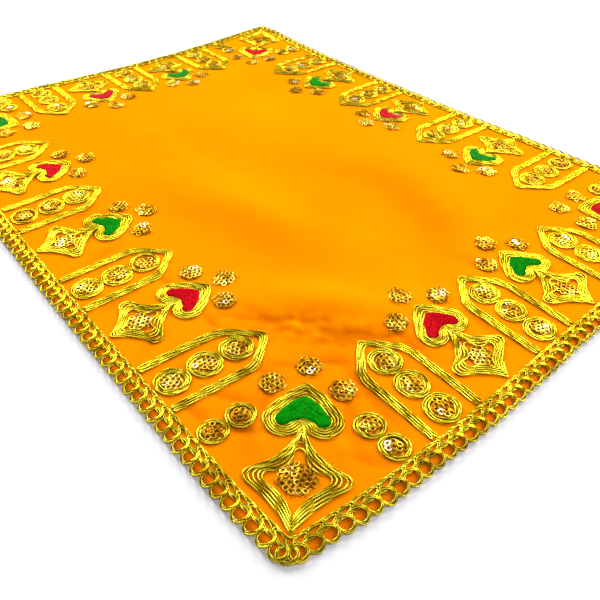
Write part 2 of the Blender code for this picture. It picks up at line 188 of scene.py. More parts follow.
CORNERS = {
    "front_right": Side((HALF_LONG, -HALF_SHORT), (-DIAGONAL, -DIAGONAL), (-DIAGONAL, DIAGONAL)),
    "front_left": Side((-HALF_LONG, -HALF_SHORT), (-DIAGONAL, DIAGONAL), (DIAGONAL, DIAGONAL)),
    "back_right": Side((HALF_LONG, HALF_SHORT), (-DIAGONAL, DIAGONAL), (-DIAGONAL, -DIAGONAL)),
    "back_left": Side((-HALF_LONG, HALF_SHORT), (-DIAGONAL, -DIAGONAL), (DIAGONAL, -DIAGONAL)),
}

STATIONS = {
    "front": by_turns(
        Silk.RED, (90.3, -0.05), (127.6, 0.03), (162.8, 0.01), (204.2, -0.02), (239.0, 0.02), (277.8, 0.01),
        (312.3, -0.01),
    ),
    "right": by_turns(Silk.RED, (86.0, 0.02), (118.2, 0.06), (151.6, 0.02), (184.6, -0.02), (216.8, 0.01)),
    "back": by_turns(
        Silk.GREEN, (90.8, 0.01), (128.2, -0.02), (164.0, 0.03), (204.0, 0.02), (239.4, -0.02), (278.4, 0.01),
        (313.4, 0.02),
    ),
    "left": by_turns(Silk.RED, (86.8, -0.02), (119.4, 0.02), (151.8, 0.01), (184.6, -0.01), (216.6, 0.02)),
}

CORNER_STATIONS = {
    "front_right": Station(Motif.HEART, 0.0, 0.01, Silk.GREEN),
    "front_left": Station(Motif.HEART, 0.0, -0.02, Silk.GREEN),
    "back_right": Station(Motif.HEART, 0.0, 0.02, Silk.RED),
    "back_left": Station(Motif.HEART, 0.0, -0.01, Silk.RED),
}

PULLS = (
    Pull("front", 0.0, 26.0, -2.6), Pull("front", 165.0, 75.0, 1.2),
    Pull("right", 0.0, 28.0, -4.2), Pull("right", 98.0, 45.0, 2.0),
    Pull("back", 205.0, 120.0, -3.0), Pull("back", 406.0, 45.0, 1.6),
    Pull("left", 165.0, 62.0, -4.0), Pull("left", 305.0, 42.0, 3.4),
)

MAIN_FOLDS = folds(
    (88, 94.5, -38, 28, 11, 2.8), (168, 114, -16, 62, 18, 2.8), (122, 203, 22, 52, 18, 2.6),
    (252, 164, -48, 78, 38, 2.4), (322, 206, 62, 48, 26, 1.6), (406.4, 304.8, 35, 58, 58, 2.4),
    (68, 42, 52, 34, 20, 0.6), (40, 74, 24, 34, 20, 0.5), (112, 40, 80, 36, 18, 0.5),
)

FINE_CREASES = folds(
    (74, 82, -38, 26, 7, -0.24), (70, 92, -52, 12, 2.6, 0.40), (82, 74, -20, 11, 2.4, 0.40),
    (92, 70, -58, 9, 2.2, -0.35), (66, 84, -66, 9, 2.0, -0.30), (98, 66, -12, 10, 2.6, -0.35),
    (108.5, 46.5, 6, 5.5, 1.6, -0.45), (146, 46, -4, 5, 1.6, -0.40), (53, 24, -48, 9, 2.0, -0.40),
    (48, 27, 34, 8, 2.0, 0.30), (70, 15, -8, 6, 1.8, -0.40), (69, 29, -36, 8, 2.0, -0.40),
    (71, 47, -30, 7, 2.2, -0.35), (68, 56, -42, 8, 2.0, -0.30), (28, 47, 18, 9, 2.4, 0.35),
    (17, 48, -30, 7, 2.0, -0.30), (44, 71, 12, 12, 2.2, -0.40), (25, 68, 8, 8, 2.0, -0.30),
    (60, 70, -46, 9, 2.2, -0.40), (45, 103, 4, 8, 2.0, -0.30), (58, 94, -58, 8, 1.8, -0.30),
    (104, 58, -40, 8, 1.8, -0.30), (38, 60, 40, 9, 1.8, -0.34), (60, 38, 60, 9, 1.8, -0.34),
    (26, 92, -8, 8, 1.8, -0.28), (94, 24, 84, 9, 1.8, -0.28), (113, 22, 70, 8, 2.0, -0.30),
    (145, 20, 84, 9, 2.0, -0.25), (183, 34, 80, 10, 2.4, -0.30), (222, 40, 70, 10, 2.4, -0.30),
    (32, 134.5, 4, 14, 2.2, -0.25), (64, 128, 30, 10, 3.0, 0.25), (60, 168, -20, 10, 3.0, -0.25),
)

# Bands of painted shade (negative rise) and painted light (positive rise) on the pile, laid out like folds;
# they change only the colour.
PAINTED_SHADE_BANDS = folds(
    (71, 83, -37, 40, 12, -0.72), (135, 101, -9, 34, 15, -0.42), (187, 86, -24, 36, 15, -0.36),
    (84, 166, 40, 26, 12, -0.38), (124, 185, 11, 36, 13, -0.46), (168, 181, -27, 30, 13, -0.36),
    (140, 140, 45, 20, 13, -0.35), (310, 228, 32, 30, 15, -0.30), (255, 122, -2, 84, 10, 0.70),
    (222, 180, -70, 28, 15, 0.45), (258, 202, 0, 46, 15, 0.40), (110, 76, -40, 26, 10, 0.30),
    (40, 38, 45, 66, 46, -0.42), (50, 25, 30, 14, 6, -0.45), (26, 52, 60, 14, 6, -0.40),
)


def bell(distance: Row, reach: float) -> Row:
    """A smooth bump: 1 at no distance, fading out past its reach."""
    return np.exp(-((distance / reach) ** 2))


def turned(x: Row, y: Row, angle: float) -> tuple[Row, Row]:
    """Measures plan places along and across a heading in radians."""
    return x * math.cos(angle) + y * math.sin(angle), y * math.cos(angle) - x * math.sin(angle)


def fold_heights(shapes: Iterable[Fold], x: Row, y: Row) -> Row:
    """Adds up folds at plan points.

    Args:
        shapes: The ridges and troughs.
        x: Plan X of each point.
        y: Plan Y of each point.

    Returns:
        Height at each point.
    """
    height = np.zeros_like(x)
    for fold in shapes:
        u = HALF_LONG - x - fold.u * MM
        v = y + HALF_SHORT - fold.v * MM
        along, across = turned(u, v, math.radians(fold.heading))
        height += fold.rise * MM * bell(along, fold.half_length * MM) * bell(across, fold.half_width * MM)
    return height


@dataclass(frozen=True)
class Lay:
    """How the cloth lies: where its outline is pulled to, and how high its folds stand at plan points."""

    # Weights of the pile's painted shade and light: slopes turned from the lamps, creases, crumpling, and how
    # far the mask darkens, lightens and is clipped.
    painted_shade_slope: float = 0.35
    painted_shade_crease: float = 2.2
    painted_shade_crumple: float = 1.6
    painted_shade_gain: float = 0.35
    painted_light_gain: float = 0.4
    painted_shade_limits: tuple[float, float] = (-1.3, 1.0)
    crease_depth: float = 2.0
    crumple: Fold = Fold(71, 82, -37, 36, 11, 0.18)
    crumple_lengths: tuple[float, ...] = (9.0 * MM, 6.4 * MM, 5.2 * MM)
    ripple: float = 0.10 * MM
    ripple_lengths: tuple[float, ...] = (38.0 * MM, 27.0 * MM, 19.0 * MM, 13.0 * MM)

    def pull(self, x: Row, y: Row) -> tuple[Row, Row]:
        """Moves plan points with the uneven outline.

        Args:
            x: Plan X of each point.
            y: Plan Y of each point.

        Returns:
            The moved X and Y.
        """
        moved_x = x.copy()
        moved_y = y.copy()
        for pull in PULLS:
            side = SIDES[pull.side]
            from_x = x - side.start[0]
            from_y = y - side.start[1]
            s = from_x * side.along[0] + from_y * side.along[1]
            d = from_x * side.inward[0] + from_y * side.inward[1]
            fade = np.clip(1.0 - np.maximum(d, 0.0) / PULL_FADE, 0.0, None) ** 2
            shift = pull.outward * MM * bell(s - pull.at * MM, pull.reach * MM) * fade
            moved_x -= side.inward[0] * shift
            moved_y -= side.inward[1] * shift
        return moved_x, moved_y

    def crumpling(self, x: Row, y: Row) -> Row:
        """Gives the height of the fine crumpling in one band of the cloth.

        Args:
            x: Plan X of each point.
            y: Plan Y of each point.

        Returns:
            Height at each point.
        """
        wave = np.zeros_like(x)
        for number, length in enumerate(self.crumple_lengths):
            run, cross = turned(x, y, 0.5 + 1.9 * number)
            bend = 0.8 * np.sin(math.tau * cross / length / 2.3)
            wave += np.sin(math.tau * run / length + bend + 2.1 * number)
        return wave * fold_heights([self.crumple], x, y)

    def underside(self, x: Row, y: Row) -> Row:
        """Height of the underside in the main folds: 0 where the cloth touches what it lies on."""
        return np.maximum(0.0, fold_heights(MAIN_FOLDS, x, y) - LAY_THRESHOLD)

    def top(self, x: Row, y: Row) -> Row:
        """Gives the height of the top face, with the fine creases and a slight ripple.

        Args:
            x: Plan X of each point.
            y: Plan Y of each point.

        Returns:
            Height at each point.
        """
        height = CLOTH_THICK + self.underside(x, y) + self.crease_depth * fold_heights(FINE_CREASES, x, y)
        height += self.crumpling(x, y)
        for number, length in enumerate(self.ripple_lengths):
            run, cross = turned(x, y, 0.7 + 2.4 * number)
            wave = np.sin(math.tau * run / length + 1.7 * number) * np.cos(math.tau * cross / length / 1.6)
            height += self.ripple * wave * length / self.ripple_lengths[0]
        return np.maximum(height, LOWEST_TOP)

    def painted_shade(self, x: Row, y: Row) -> Row:
        """Gives the pile's painted shade and light: darker in creases and on slopes turned from the lamp.

        Args:
            x: Plan X of each point.
            y: Plan Y of each point.

        Returns:
            A mask from 0 to 1, with PAINTED_SHADE_PLAIN for flat cloth.
        """
        step_x = LAMP_HEADING[0] * MM
        step_y = LAMP_HEADING[1] * MM
        fall = fold_heights(MAIN_FOLDS, x - step_x, y - step_y)
        fall -= fold_heights(MAIN_FOLDS, x + step_x, y + step_y)
        fine = self.painted_shade_crease * fold_heights(FINE_CREASES, x, y) + self.painted_shade_crumple * self.crumpling(x, y)
        tone = (self.painted_shade_slope * fall + fine + fold_heights(PAINTED_SHADE_BANDS, x, y)) / MM
        # Below zero the tone is painted shade, above it painted light.
        depth = np.where(tone < 0.0, self.painted_shade_gain, self.painted_light_gain)
        return PAINTED_SHADE_PLAIN + depth * np.clip(tone, *self.painted_shade_limits)


LAY = Lay()


@dataclass(frozen=True)
class Place:
    """Where a motif is worked: its side, its station along it, and its lean."""

    side: Side
    station: float = 0.0
    lean: float = 0.0

    def lay_down(self, flat: Row, height: Row | float) -> Row:
        """Lays flat (s, d) points on the cloth.

        Args:
            flat: Points as rows of s and d.
            height: Height of each point above the cloth's top.

        Returns:
            Points in space.
        """
        d = flat[:, 1]
        s = self.station + flat[:, 0] + self.lean * (d - MOTIF_BASE)
        x = self.side.start[0] + self.side.along[0] * s + self.side.inward[0] * d
        y = self.side.start[1] + self.side.along[1] * s + self.side.inward[1] * d
        return np.column_stack([*LAY.pull(x, y), LAY.top(x, y) + height])


def arc(centre: tuple[float, float], radius: float, start: float, end: float, steps: int) -> Row:
    """Gives points on an arc, ends included.

    Args:
        centre: The arc's centre as s and d.
        radius: Its radius.
        start: First angle in degrees.
        end: Last angle in degrees.
        steps: Number of stretches between the points.

    Returns:
        Points as rows of s and d.
    """
    angles = np.radians(np.linspace(start, end, steps + 1))
    return np.column_stack([centre[0] + radius * np.cos(angles), centre[1] + radius * np.sin(angles)])


def mirrored(half: Row) -> Row:
    """Closes a half outline, from its near end to its far one, with its mirror image."""
    return np.vstack([half, half[half[:, 0] > 0.0][::-1] * (-1.0, 1.0)])


def rounded(points: Row, passes: int) -> Row:
    """Rounds a closed outline by cutting its corners.

    Args:
        points: The outline.
        passes: How many times its corners are cut.

    Returns:
        The rounder outline.
    """
    for _ in range(passes):
        following = np.roll(points, -1, axis=0)
        points = np.stack([0.75 * points + 0.25 * following, 0.25 * points + 0.75 * following], axis=1)
        points = points.reshape(-1, points.shape[-1])
    return points


def divided(points: Row, step: float) -> Row:
    """Divides the long stretches of a closed outline, so that rounding keeps close to its corners.

    Args:
        points: The outline.
        step: Greatest length of a stretch.

    Returns:
        The outline with more points.
    """
    pieces = []
    for start, end in zip(points, np.roll(points, -1, axis=0)):
        count = max(1, math.ceil(np.linalg.norm(end - start) / step))
        pieces.append(start + (end - start) * (np.arange(count) / count)[:, None])
    return np.vstack(pieces)


def bowed(start: tuple[float, float], end: tuple[float, float], sag: float, steps: int) -> Row:
    """Goes from one place to another along a line that sags to one side, the last point left out.

    Args:
        start: First place.
        end: Last place.
        sag: How far the middle moves towards the middle line and the far or near side.
        steps: Number of stretches.

    Returns:
        Points as rows of s and d.
    """
    share = np.arange(steps) / steps
    line = np.array(start) + (np.array(end) - np.array(start)) * share[:, None]
    across = np.array([end[1] - start[1], start[0] - end[0]]) / math.dist(start, end)
    return line + across * (4 * sag * share * (1 - share))[:, None]


def evenly(points: Row, step: float) -> Row:
    """Spaces the points of a closed outline evenly.

    Args:
        points: The outline.
        step: Wanted distance between points.

    Returns:
        The outline with evenly spaced points.
    """
    closed = np.vstack([points, points[:1]])
    lengths = np.concatenate([[0.0], np.cumsum(np.linalg.norm(np.diff(closed, axis=0), axis=1))])
    count = max(8, int(round(lengths[-1] / step)))
    marks = np.linspace(0.0, lengths[-1], count, endpoint=False)
    return np.column_stack([np.interp(marks, lengths, closed[:, axis]) for axis in range(points.shape[1])])


def unit(vectors: Row) -> Row:
    """Makes each row of vectors one long."""
    return vectors / (np.linalg.norm(vectors, axis=1, keepdims=True) + TINY)


def hand_laid(points: Row, wander: float, draws: Draws) -> Row:
    """Lets a closed outline wander a little sideways, as cord laid by hand does.

    Args:
        points: Evenly spaced outline.
        wander: Greatest sideways shift.
        draws: Seeded random draws.

    Returns:
        The outline as laid.
    """
    ahead = np.roll(points, -1, axis=0) - np.roll(points, 1, axis=0)
    sideways = unit(np.column_stack([ahead[:, 1], -ahead[:, 0]]))
    turn = np.linspace(0.0, math.tau, len(points), endpoint=False)
    shift = np.zeros(len(points))
    for waves in (2, 3, 5, 8, 11):
        wave = np.sin(waves * turn + draws.uniform(0, math.tau))
        shift += wave * draws.uniform(0.3, 1.0) / math.sqrt(waves)
    return points + sideways * (wander * shift / 2.2)[:, None]


@dataclass
class Draft:
    """Collects the points, faces and thread coordinates of one mesh."""

    points: list[Row] = field(default_factory=list)
    bed_and_glint_marks: list[Row] = field(default_factory=list)
    quads: list[Row] = field(default_factory=list)
    threads: list[Row] = field(default_factory=list)
    triangles: list[Row] = field(default_factory=lambda: [np.zeros((0, 3), dtype=int)])
    count: int = 0

    def add(self, points: Row, quads: Row, threads: Row, bed: float = 0.0) -> None:
        """Adds one closed form.

        Args:
            points: Its points.
            quads: Its four-sided faces.
            threads: Length and turn coordinates of each quad's corners.
            bed: 1 for a form that lies under others, 0.5 for a sequin with a painted glint.
        """
        self.points.append(points)
        self.bed_and_glint_marks.append(np.full(len(points), bed))
        self.quads.append(quads + self.count)
        self.threads.append(threads.reshape(-1, 2))
        self.count += len(points)

    def add_cord(self, path: Row, radius: float, sides: int, closed: bool = True) -> None:
        """Adds a round cord along a path that runs nearly level.

        Args:
            path: Its middle line in space.
            radius: Its radius.
            sides: Sides of its section.
            closed: Whether its ends meet. If they don't, they are closed with triangles.
        """
        count = len(path)
        spans = count if closed else count - 1
        past = np.roll(path, -1, axis=0) - np.roll(path, 1, axis=0)
        ahead = unit(past if closed else np.gradient(path, axis=0))
        sideways = unit(np.cross(ahead, (0.0, 0.0, 1.0)))
        up = np.cross(sideways, ahead)
        turn = np.arange(sides)
        angles = (math.tau * turn / sides)[None, :, None]
        rings = path[:, None] + radius * (np.cos(angles) * sideways[:, None] + np.sin(angles) * up[:, None])
        points = rings.reshape(-1, 3)
        following = (turn + 1) % sides
        here = np.arange(spans)[:, None] * sides
        there = (np.arange(spans)[:, None] + 1) % count * sides
        quads = np.stack([here + turn, there + turn, there + following, here + following], axis=-1)
        steps = np.linalg.norm(np.roll(path, -1, axis=0) - path, axis=1)[:spans]
        ends = np.cumsum(steps)
        lengths = np.stack([ends - steps, ends, ends, ends - steps], axis=-1)[:, None]
        shares = np.stack([turn, turn, turn + 1, turn + 1], axis=-1)[None] / sides
        threads = np.stack(np.broadcast_arrays(lengths, shares), axis=-1)
        if not closed:
            first = self.count
            last = first + (count - 1) * sides
            tips = first + len(points)
            self.triangles.append(np.column_stack([np.full(sides, tips), first + turn, first + following]))
            self.triangles.append(np.column_stack([np.full(sides, tips + 1), last + following, last + turn]))
            points = np.vstack([points, path[:1], path[-1:]])
        self.add(points, quads.reshape(-1, 4), threads)

    def make(self, name: str) -> bpy.types.Object:
        """Makes the mesh object.

        Args:
            name: The piece's name.

        Returns:
            The linked object, shaded smooth, with its thread coordinates and its bed and painted glint marks.
        """
        points = np.vstack(self.points)
        quads = np.vstack(self.quads)
        triangles = np.vstack(self.triangles)
        corners = np.concatenate([quads.ravel(), triangles.ravel()])
        sizes = np.concatenate([np.full(len(quads), 4), np.full(len(triangles), 3)])
        mesh = bpy.data.meshes.new(name)
        mesh.vertices.add(len(points))
        mesh.vertices.foreach_set("co", points.ravel())
        mesh.loops.add(len(corners))
        mesh.loops.foreach_set("vertex_index", corners)
        mesh.polygons.add(len(sizes))
        mesh.polygons.foreach_set("loop_start", np.concatenate([[0], np.cumsum(sizes)[:-1]]))
        mesh.polygons.foreach_set("loop_total", sizes)
        layer = mesh.uv_layers.new(name="thread")
        layer.data.foreach_set("uv", np.vstack([*self.threads, np.zeros((triangles.size, 2))]).ravel())
        mesh.update(calc_edges=True)
        mesh.validate()
        mesh.shade_smooth()
        # The bed attribute also carries the sequins' painted glint marks.
        mesh.attributes.new("bed", "FLOAT", "POINT").data.foreach_set("value", np.concatenate(self.bed_and_glint_marks))
        made = bpy.data.objects.new(name, mesh)
        bpy.context.scene.collection.objects.link(made)
        return made


def shader_colour(colour: Colour) -> tuple[float, float, float, float]:
    """Turns a display colour (0 to 255) into the linear one that a shader takes."""
    channels = [value / 255 for value in colour]
    return (*(c / 12.92 if c <= 0.04045 else ((c + 0.055) / 1.055) ** 2.4 for c in channels), 1.0)


class Wiring:
    """Places nodes in one shader tree.

    An input takes a socket, which is linked, or a plain value, which is set.
    """

    def __init__(self, tree: bpy.types.NodeTree) -> None:
        """Takes the tree that it works on."""
        self.tree = tree

    def put(self, socket: Socket, value: object) -> None:
        """Feeds one input.

        Args:
            socket: The input.
            value: A socket or a plain value.
        """
        if isinstance(value, Socket):
            self.tree.links.new(value, socket)
        else:
            socket.default_value = value

    def feed(self, node: bpy.types.Node, **inputs: object) -> None:
        """Feeds a node's inputs.

        Args:
            node: The node.
            inputs: What goes to each, named with underscores for spaces.
        """
        for label, value in inputs.items():
            self.put(node.inputs[label.replace("_", " ")], value)

    def node(self, kind: str, **inputs: object) -> bpy.types.Node:
        """Adds a node.

        Args:
            kind: Its type.
            inputs: What goes to its inputs, named with underscores for spaces.

        Returns:
            The node.
        """
        node = self.tree.nodes.new(kind)
        self.feed(node, **inputs)
        return node

    def calc(self, operation: str, *values: object) -> Socket:
        """Adds a math node.

        Args:
            operation: Its operation.
            values: Sockets or numbers, in order.

        Returns:
            The result.
        """
        node = self.node("ShaderNodeMath")
        node.operation = operation
        for socket, value in zip(node.inputs, values):
            self.put(socket, value)
        return node.outputs[0]

    def noise(self, **inputs: object) -> Socket:
        """Adds noise over the object's own coordinates, with these inputs."""
        place = self.node("ShaderNodeTexCoord")
        return self.node("ShaderNodeTexNoise", Vector=place.outputs["Object"], **inputs).outputs["Fac"]

    def bump(self, **inputs: object) -> Socket:
        """Adds a bump with these inputs: its height mask, its strength and its real distance."""
        return self.node("ShaderNodeBump", **inputs).outputs["Normal"]


class Effects:
    """The effects that several finishes share, each built once as a node group."""

    def __init__(self) -> None:
        """Builds the groups."""
        self.twist = self._twist()
        self.tone = self._tone()

    @staticmethod
    def _open(name: str, inputs: dict[str, float], outputs: dict[str, str]) -> tuple:
        """Opens a group with float inputs and typed outputs.

        Args:
            name: The group's name.
            inputs: Input names and default values.
            outputs: Output names and socket types.

        Returns:
            The group's wiring, its given values and its output node.
        """
        group = bpy.data.node_groups.new(name, "ShaderNodeTree")
        for label, value in inputs.items():
            socket = group.interface.new_socket(label, in_out="INPUT", socket_type="NodeSocketFloat")
            socket.default_value = value
        for label, kind in outputs.items():
            group.interface.new_socket(label, in_out="OUTPUT", socket_type=kind)
        return Wiring(group), group.nodes.new("NodeGroupInput").outputs, group.nodes.new("NodeGroupOutput")

    def _twist(self) -> bpy.types.NodeTree:
        """Builds plied thread: slanting ridges that run round a cord, as a mask and a normal.

        Returns:
            The group.
        """
        wires, given, end = self._open(
            "thread_twist",
            {"Lay Length": 0.002, "Plies": 2.0, "Wobble": 0.0, "Relief": 0.3, "Height": 0.0001},
            {"Ridge": "NodeSocketFloat", "Normal": "NodeSocketVector"},
        )
        thread = wires.node("ShaderNodeUVMap")
        thread.uv_map = "thread"
        split = wires.node("ShaderNodeSeparateXYZ", Vector=thread.outputs["UV"]).outputs
        even = wires.calc("ADD", wires.calc("DIVIDE", split["X"], given["Lay Length"]), split["Y"])
        shift = wires.calc("MULTIPLY", wires.noise(Scale=310.0), given["Wobble"])
        phase = wires.calc("MULTIPLY", wires.calc("ADD", even, shift), given["Plies"])
        wave = wires.calc("SINE", wires.calc("MULTIPLY", phase, math.tau))
        ridge = wires.calc("MULTIPLY_ADD", wave, 0.5, 0.5)
        normal = wires.bump(Height=ridge, Strength=given["Relief"], Distance=given["Height"])
        wires.feed(end, Ridge=ridge, Normal=normal)
        return wires.tree

    def _tone(self) -> bpy.types.NodeTree:
        """Builds uneven tone or fine grain over a surface, as a mask.

        Returns:
            The group.
        """
        wires, given, end = self._open(
            "uneven_tone", {"Scale": 60.0, "Contrast": 0.5, "Detail": 3.0}, {"Tone": "NodeSocketFloat"}
        )
        noise = wires.noise(Scale=given["Scale"], Detail=given["Detail"])
        spread = wires.calc("MULTIPLY", wires.calc("SUBTRACT", noise, 0.5), given["Contrast"])
        wires.feed(end, Tone=wires.calc("ADD", spread, 0.5))
        return wires.tree


class MaterialBench(Wiring):
    """Wires one material round its Principled shader."""

    def __init__(self, name: str, effects: Effects) -> None:
        """Opens the material.

        Args:
            name: Its name.
            effects: The shared effects.
        """
        self.material = bpy.data.materials.new(name)
        self.material.use_nodes = True
        super().__init__(self.material.node_tree)
        self.shader = self.tree.nodes["Principled BSDF"]
        self.effects = effects

    def _place(self, tree: bpy.types.NodeTree, values: dict[str, float]) -> bpy.types.Node:
        """Places a shared group.

        Args:
            tree: The group.
            values: This material's own values for its inputs.

        Returns:
            The group node.
        """
        node = self.node("ShaderNodeGroup")
        node.node_tree = tree
        self.feed(node, **values)
        return node

    def twist(self, **values: float) -> tuple[Socket, Socket]:
        """Places plied thread and gives its ridge mask and its normal."""
        node = self._place(self.effects.twist, values)
        return node.outputs["Ridge"], node.outputs["Normal"]

    def tone(self, scale: float, contrast: float) -> Socket:
        """Places uneven tone and gives its mask."""
        return self._place(self.effects.tone, {"Scale": scale, "Contrast": contrast}).outputs["Tone"]

    def grain(self, scale: float) -> Socket:
        """Places fine grain and gives its mask."""
        values = {"Scale": scale, "Contrast": 1.0, "Detail": 2.0}
        return self._place(self.effects.tone, values).outputs["Tone"]

    def ramp(self, factor: Socket, *stops: tuple[float, Colour]) -> Socket:
        """Turns a mask into a colour through a ramp.

        Args:
            factor: The mask.
            stops: Positions and colours.

        Returns:
            The colour socket.
        """
        node = self.node("ShaderNodeValToRGB", Fac=factor)
        elements = node.color_ramp.elements
        for number, (position, colour) in enumerate(stops):
            element = elements[number] if number < 2 else elements.new(position)
            element.position = position
            element.color = shader_colour(colour)
        return node.outputs["Color"]

    def blend(
        self, factor: Socket | float, first: Socket, second: Socket | Colour, mode: str = "MIX"
    ) -> Socket:
        """Blends two colours.

        Args:
            factor: A socket or a number.
            first: A colour socket.
            second: A colour socket or a display colour.
            mode: How they blend.

        Returns:
            The blended colour socket.
        """
        node = self.node("ShaderNodeMix")
        node.data_type = "RGBA"
        node.blend_type = mode
        self.put(node.inputs[0], factor)
        self.put(node.inputs[6], first)
        self.put(node.inputs[7], shader_colour(second) if isinstance(second, tuple) else second)
        return node.outputs[2]

    def spread(self, factor: Socket, low: float, high: float) -> Socket:
        """Spreads a mask between two numbers."""
        return self.node("ShaderNodeMapRange", Value=factor, To_Min=low, To_Max=high).outputs["Result"]

    def attribute(self, name: str) -> Socket:
        """Reads a mask that the mesh itself carries.

        Args:
            name: The mask's name.

        Returns:
            The mask.
        """
        node = self.node("ShaderNodeAttribute")
        node.attribute_name = name
        return node.outputs["Fac"]


@dataclass(frozen=True)
class Finish:
    """What a piece is made of, as a material in the making."""

    name: str

    def wire(self, bench: MaterialBench) -> None:
        """Wires the material. Each finish has its own way."""
        raise NotImplementedError

    def make(self, effects: Effects) -> bpy.types.Material:
        """Makes the material.

        Args:
            effects: The shared effects.

        Returns:
            The material.
        """
        bench = MaterialBench(self.name, effects)
        self.wire(bench)
        return bench.material


@dataclass(frozen=True)
class GoldCordFinish(Finish):
    """Metal-wrapped cord: plies lighter on their ridges and olive in their grooves, as painted highlight and
    shade, and random patches of painted shade.
    """

    lay_length: float = 17.0 * MM
    # dark, middle and bright follow the twist: painted shade in the grooves, painted highlight on the ridges.
    dark: Colour = (96, 74, 0)
    middle: Colour = (196, 166, 12)
    bright: Colour = (246, 228, 60)
    # Random patches darkened towards this colour: painted shade that stands in for uneven highlights along
    # the cords.
    patchy_shade: Colour = (166, 150, 60)
    sheen: Colour = (255, 232, 110)

    def wire(self, bench: MaterialBench) -> None:
        """Wires the material.

        Args:
            bench: Where it is made.
        """
        ridge, normal = bench.twist(
            Lay_Length=self.lay_length, Plies=2.0, Wobble=0.3, Relief=0.6, Height=0.16 * MM
        )
        tone = bench.tone(110.0, 1.9)
        # The twist's ridges and grooves in colour: painted highlight and painted shade.
        plies = bench.ramp(ridge, (0.0, self.dark), (0.24, self.middle), (0.66, self.bright))
        # Random patches, darker and rougher where the tone is low: the darkening is painted shade, the
        # roughness real.
        patch_shade_mask = bench.ramp(tone, (0.22, self.patchy_shade), (0.62, WHITE))
        bench.feed(
            bench.shader,
            Base_Color=bench.blend(0.8, plies, patch_shade_mask, "MULTIPLY"),
            Roughness=bench.spread(tone, 0.42, 0.27),
            Normal=normal,
            Metallic=0.84,
            Specular_IOR_Level=0.1,
            Specular_Tint=shader_colour(self.sheen),
        )


@dataclass(frozen=True)
class SequinFinish(Finish):
    """Bronze-gold sequins, each a little different, some painted nearly white as glints."""

    dark: Colour = (132, 84, 8)
    middle: Colour = (196, 146, 24)
    bright: Colour = (255, 228, 100)
    bed: Colour = (170, 104, 10)
    # Near-white colour of the sequins marked for a painted glint.
    glint: Colour = (255, 242, 196)
    sheen: Colour = (255, 220, 96)

    def wire(self, bench: MaterialBench) -> None:
        """Wires the material.

        Args:
            bench: Where it is made.
        """
        tone = bench.tone(120.0, 2.0)
        colour = bench.ramp(tone, (0.14, self.dark), (0.5, self.middle), (0.82, self.bright))
        mark = bench.attribute("bed")
        under = bench.ramp(mark, (0.5, BLACK), (1.0, WHITE))
        # Sequins marked 0.5 get the near-white colour: painted glint.
        shine = bench.ramp(mark, (0.0, BLACK), (0.5, WHITE), (1.0, BLACK))
        bench.feed(
            bench.shader,
            Base_Color=bench.blend(shine, bench.blend(under, colour, self.bed), self.glint),
            Roughness=bench.spread(tone, 0.42, 0.24),
            Normal=bench.bump(Height=bench.grain(900.0), Strength=0.12, Distance=0.05 * MM),
            Metallic=0.85,
            Specular_Tint=shader_colour(self.sheen),
        )


@dataclass(frozen=True)
class SilkFinish(Finish):
    """Satin stitch silk: close threads with a soft shine along them, and painted shade in the grooves between
    them.
    """

    deep: Colour
    light: Colour
    groove_shade: Colour = (205, 205, 205)

    def wire(self, bench: MaterialBench) -> None:
        """Wires the material.

        Args:
            bench: Where it is made.
        """
        ridge, normal = bench.twist(Lay_Length=0.9 * MM, Plies=2.0, Relief=0.4, Height=0.05 * MM)
        tone = bench.tone(380.0, 1.2)
        colour = bench.ramp(tone, (0.15, self.deep), (0.85, self.light))
        # Darker in the grooves between threads: painted shade.
        shade = bench.ramp(ridge, (0.0, self.groove_shade), (0.6, WHITE))
        bench.feed(
            bench.shader,
            Base_Color=bench.blend(1.0, colour, shade, "MULTIPLY"),
            Roughness=bench.spread(tone, 0.5, 0.36),
            Normal=normal,
            Specular_IOR_Level=0.03,
        )


@dataclass(frozen=True)
class PileFinish(Finish):
    """Short-piled orange cloth: an even glow, faint brushing, fine grain, and painted shade and light in the
    folds, creases and under the braid.
    """

    plain: Colour = (255, 139, 0)
    light: Colour = (255, 149, 0)
    worn: Colour = (255, 190, 120)
    fleck: Colour = (236, 222, 200)
    # Grey stops that darken the orange where the mask is low: painted shade.
    painted_shade_stops: tuple[tuple[float, Colour], ...] = (
        (0.0, (168, 150, 150)), (0.25, (224, 206, 204)), (PAINTED_SHADE_PLAIN, (246, 246, 246)), (1.0, WHITE),
    )

    def wire(self, bench: MaterialBench) -> None:
        """Wires the material.

        Args:
            bench: Where it is made.
        """
        brushed = bench.tone(70.0, 0.9)
        grain = bench.grain(2100.0)
        base = bench.ramp(bench.tone(11.0, 1.1), (0.2, self.plain), (0.8, self.light))
        worn = bench.ramp(brushed, (0.1, self.worn), (0.45, WHITE))
        flecks = bench.ramp(grain, (0.25, self.fleck), (0.6, WHITE))
        # The mesh's mask, as grey multiplied into the orange: painted shade and light.
        lit = bench.ramp(bench.attribute("painted_shade"), *self.painted_shade_stops)
        toned = bench.blend(1.0, bench.blend(0.12, base, worn, "MULTIPLY"), lit, "MULTIPLY")
        broad = bench.bump(Height=brushed, Strength=0.1, Distance=0.6 * MM)
        bench.feed(
            bench.shader,
            Base_Color=bench.blend(0.55, toned, flecks, "MULTIPLY"),
            Roughness=bench.spread(grain, 0.72, 0.9),
            Normal=bench.bump(Height=grain, Strength=0.22, Distance=0.12 * MM, Normal=broad),
            Specular_IOR_Level=0.0,
        )


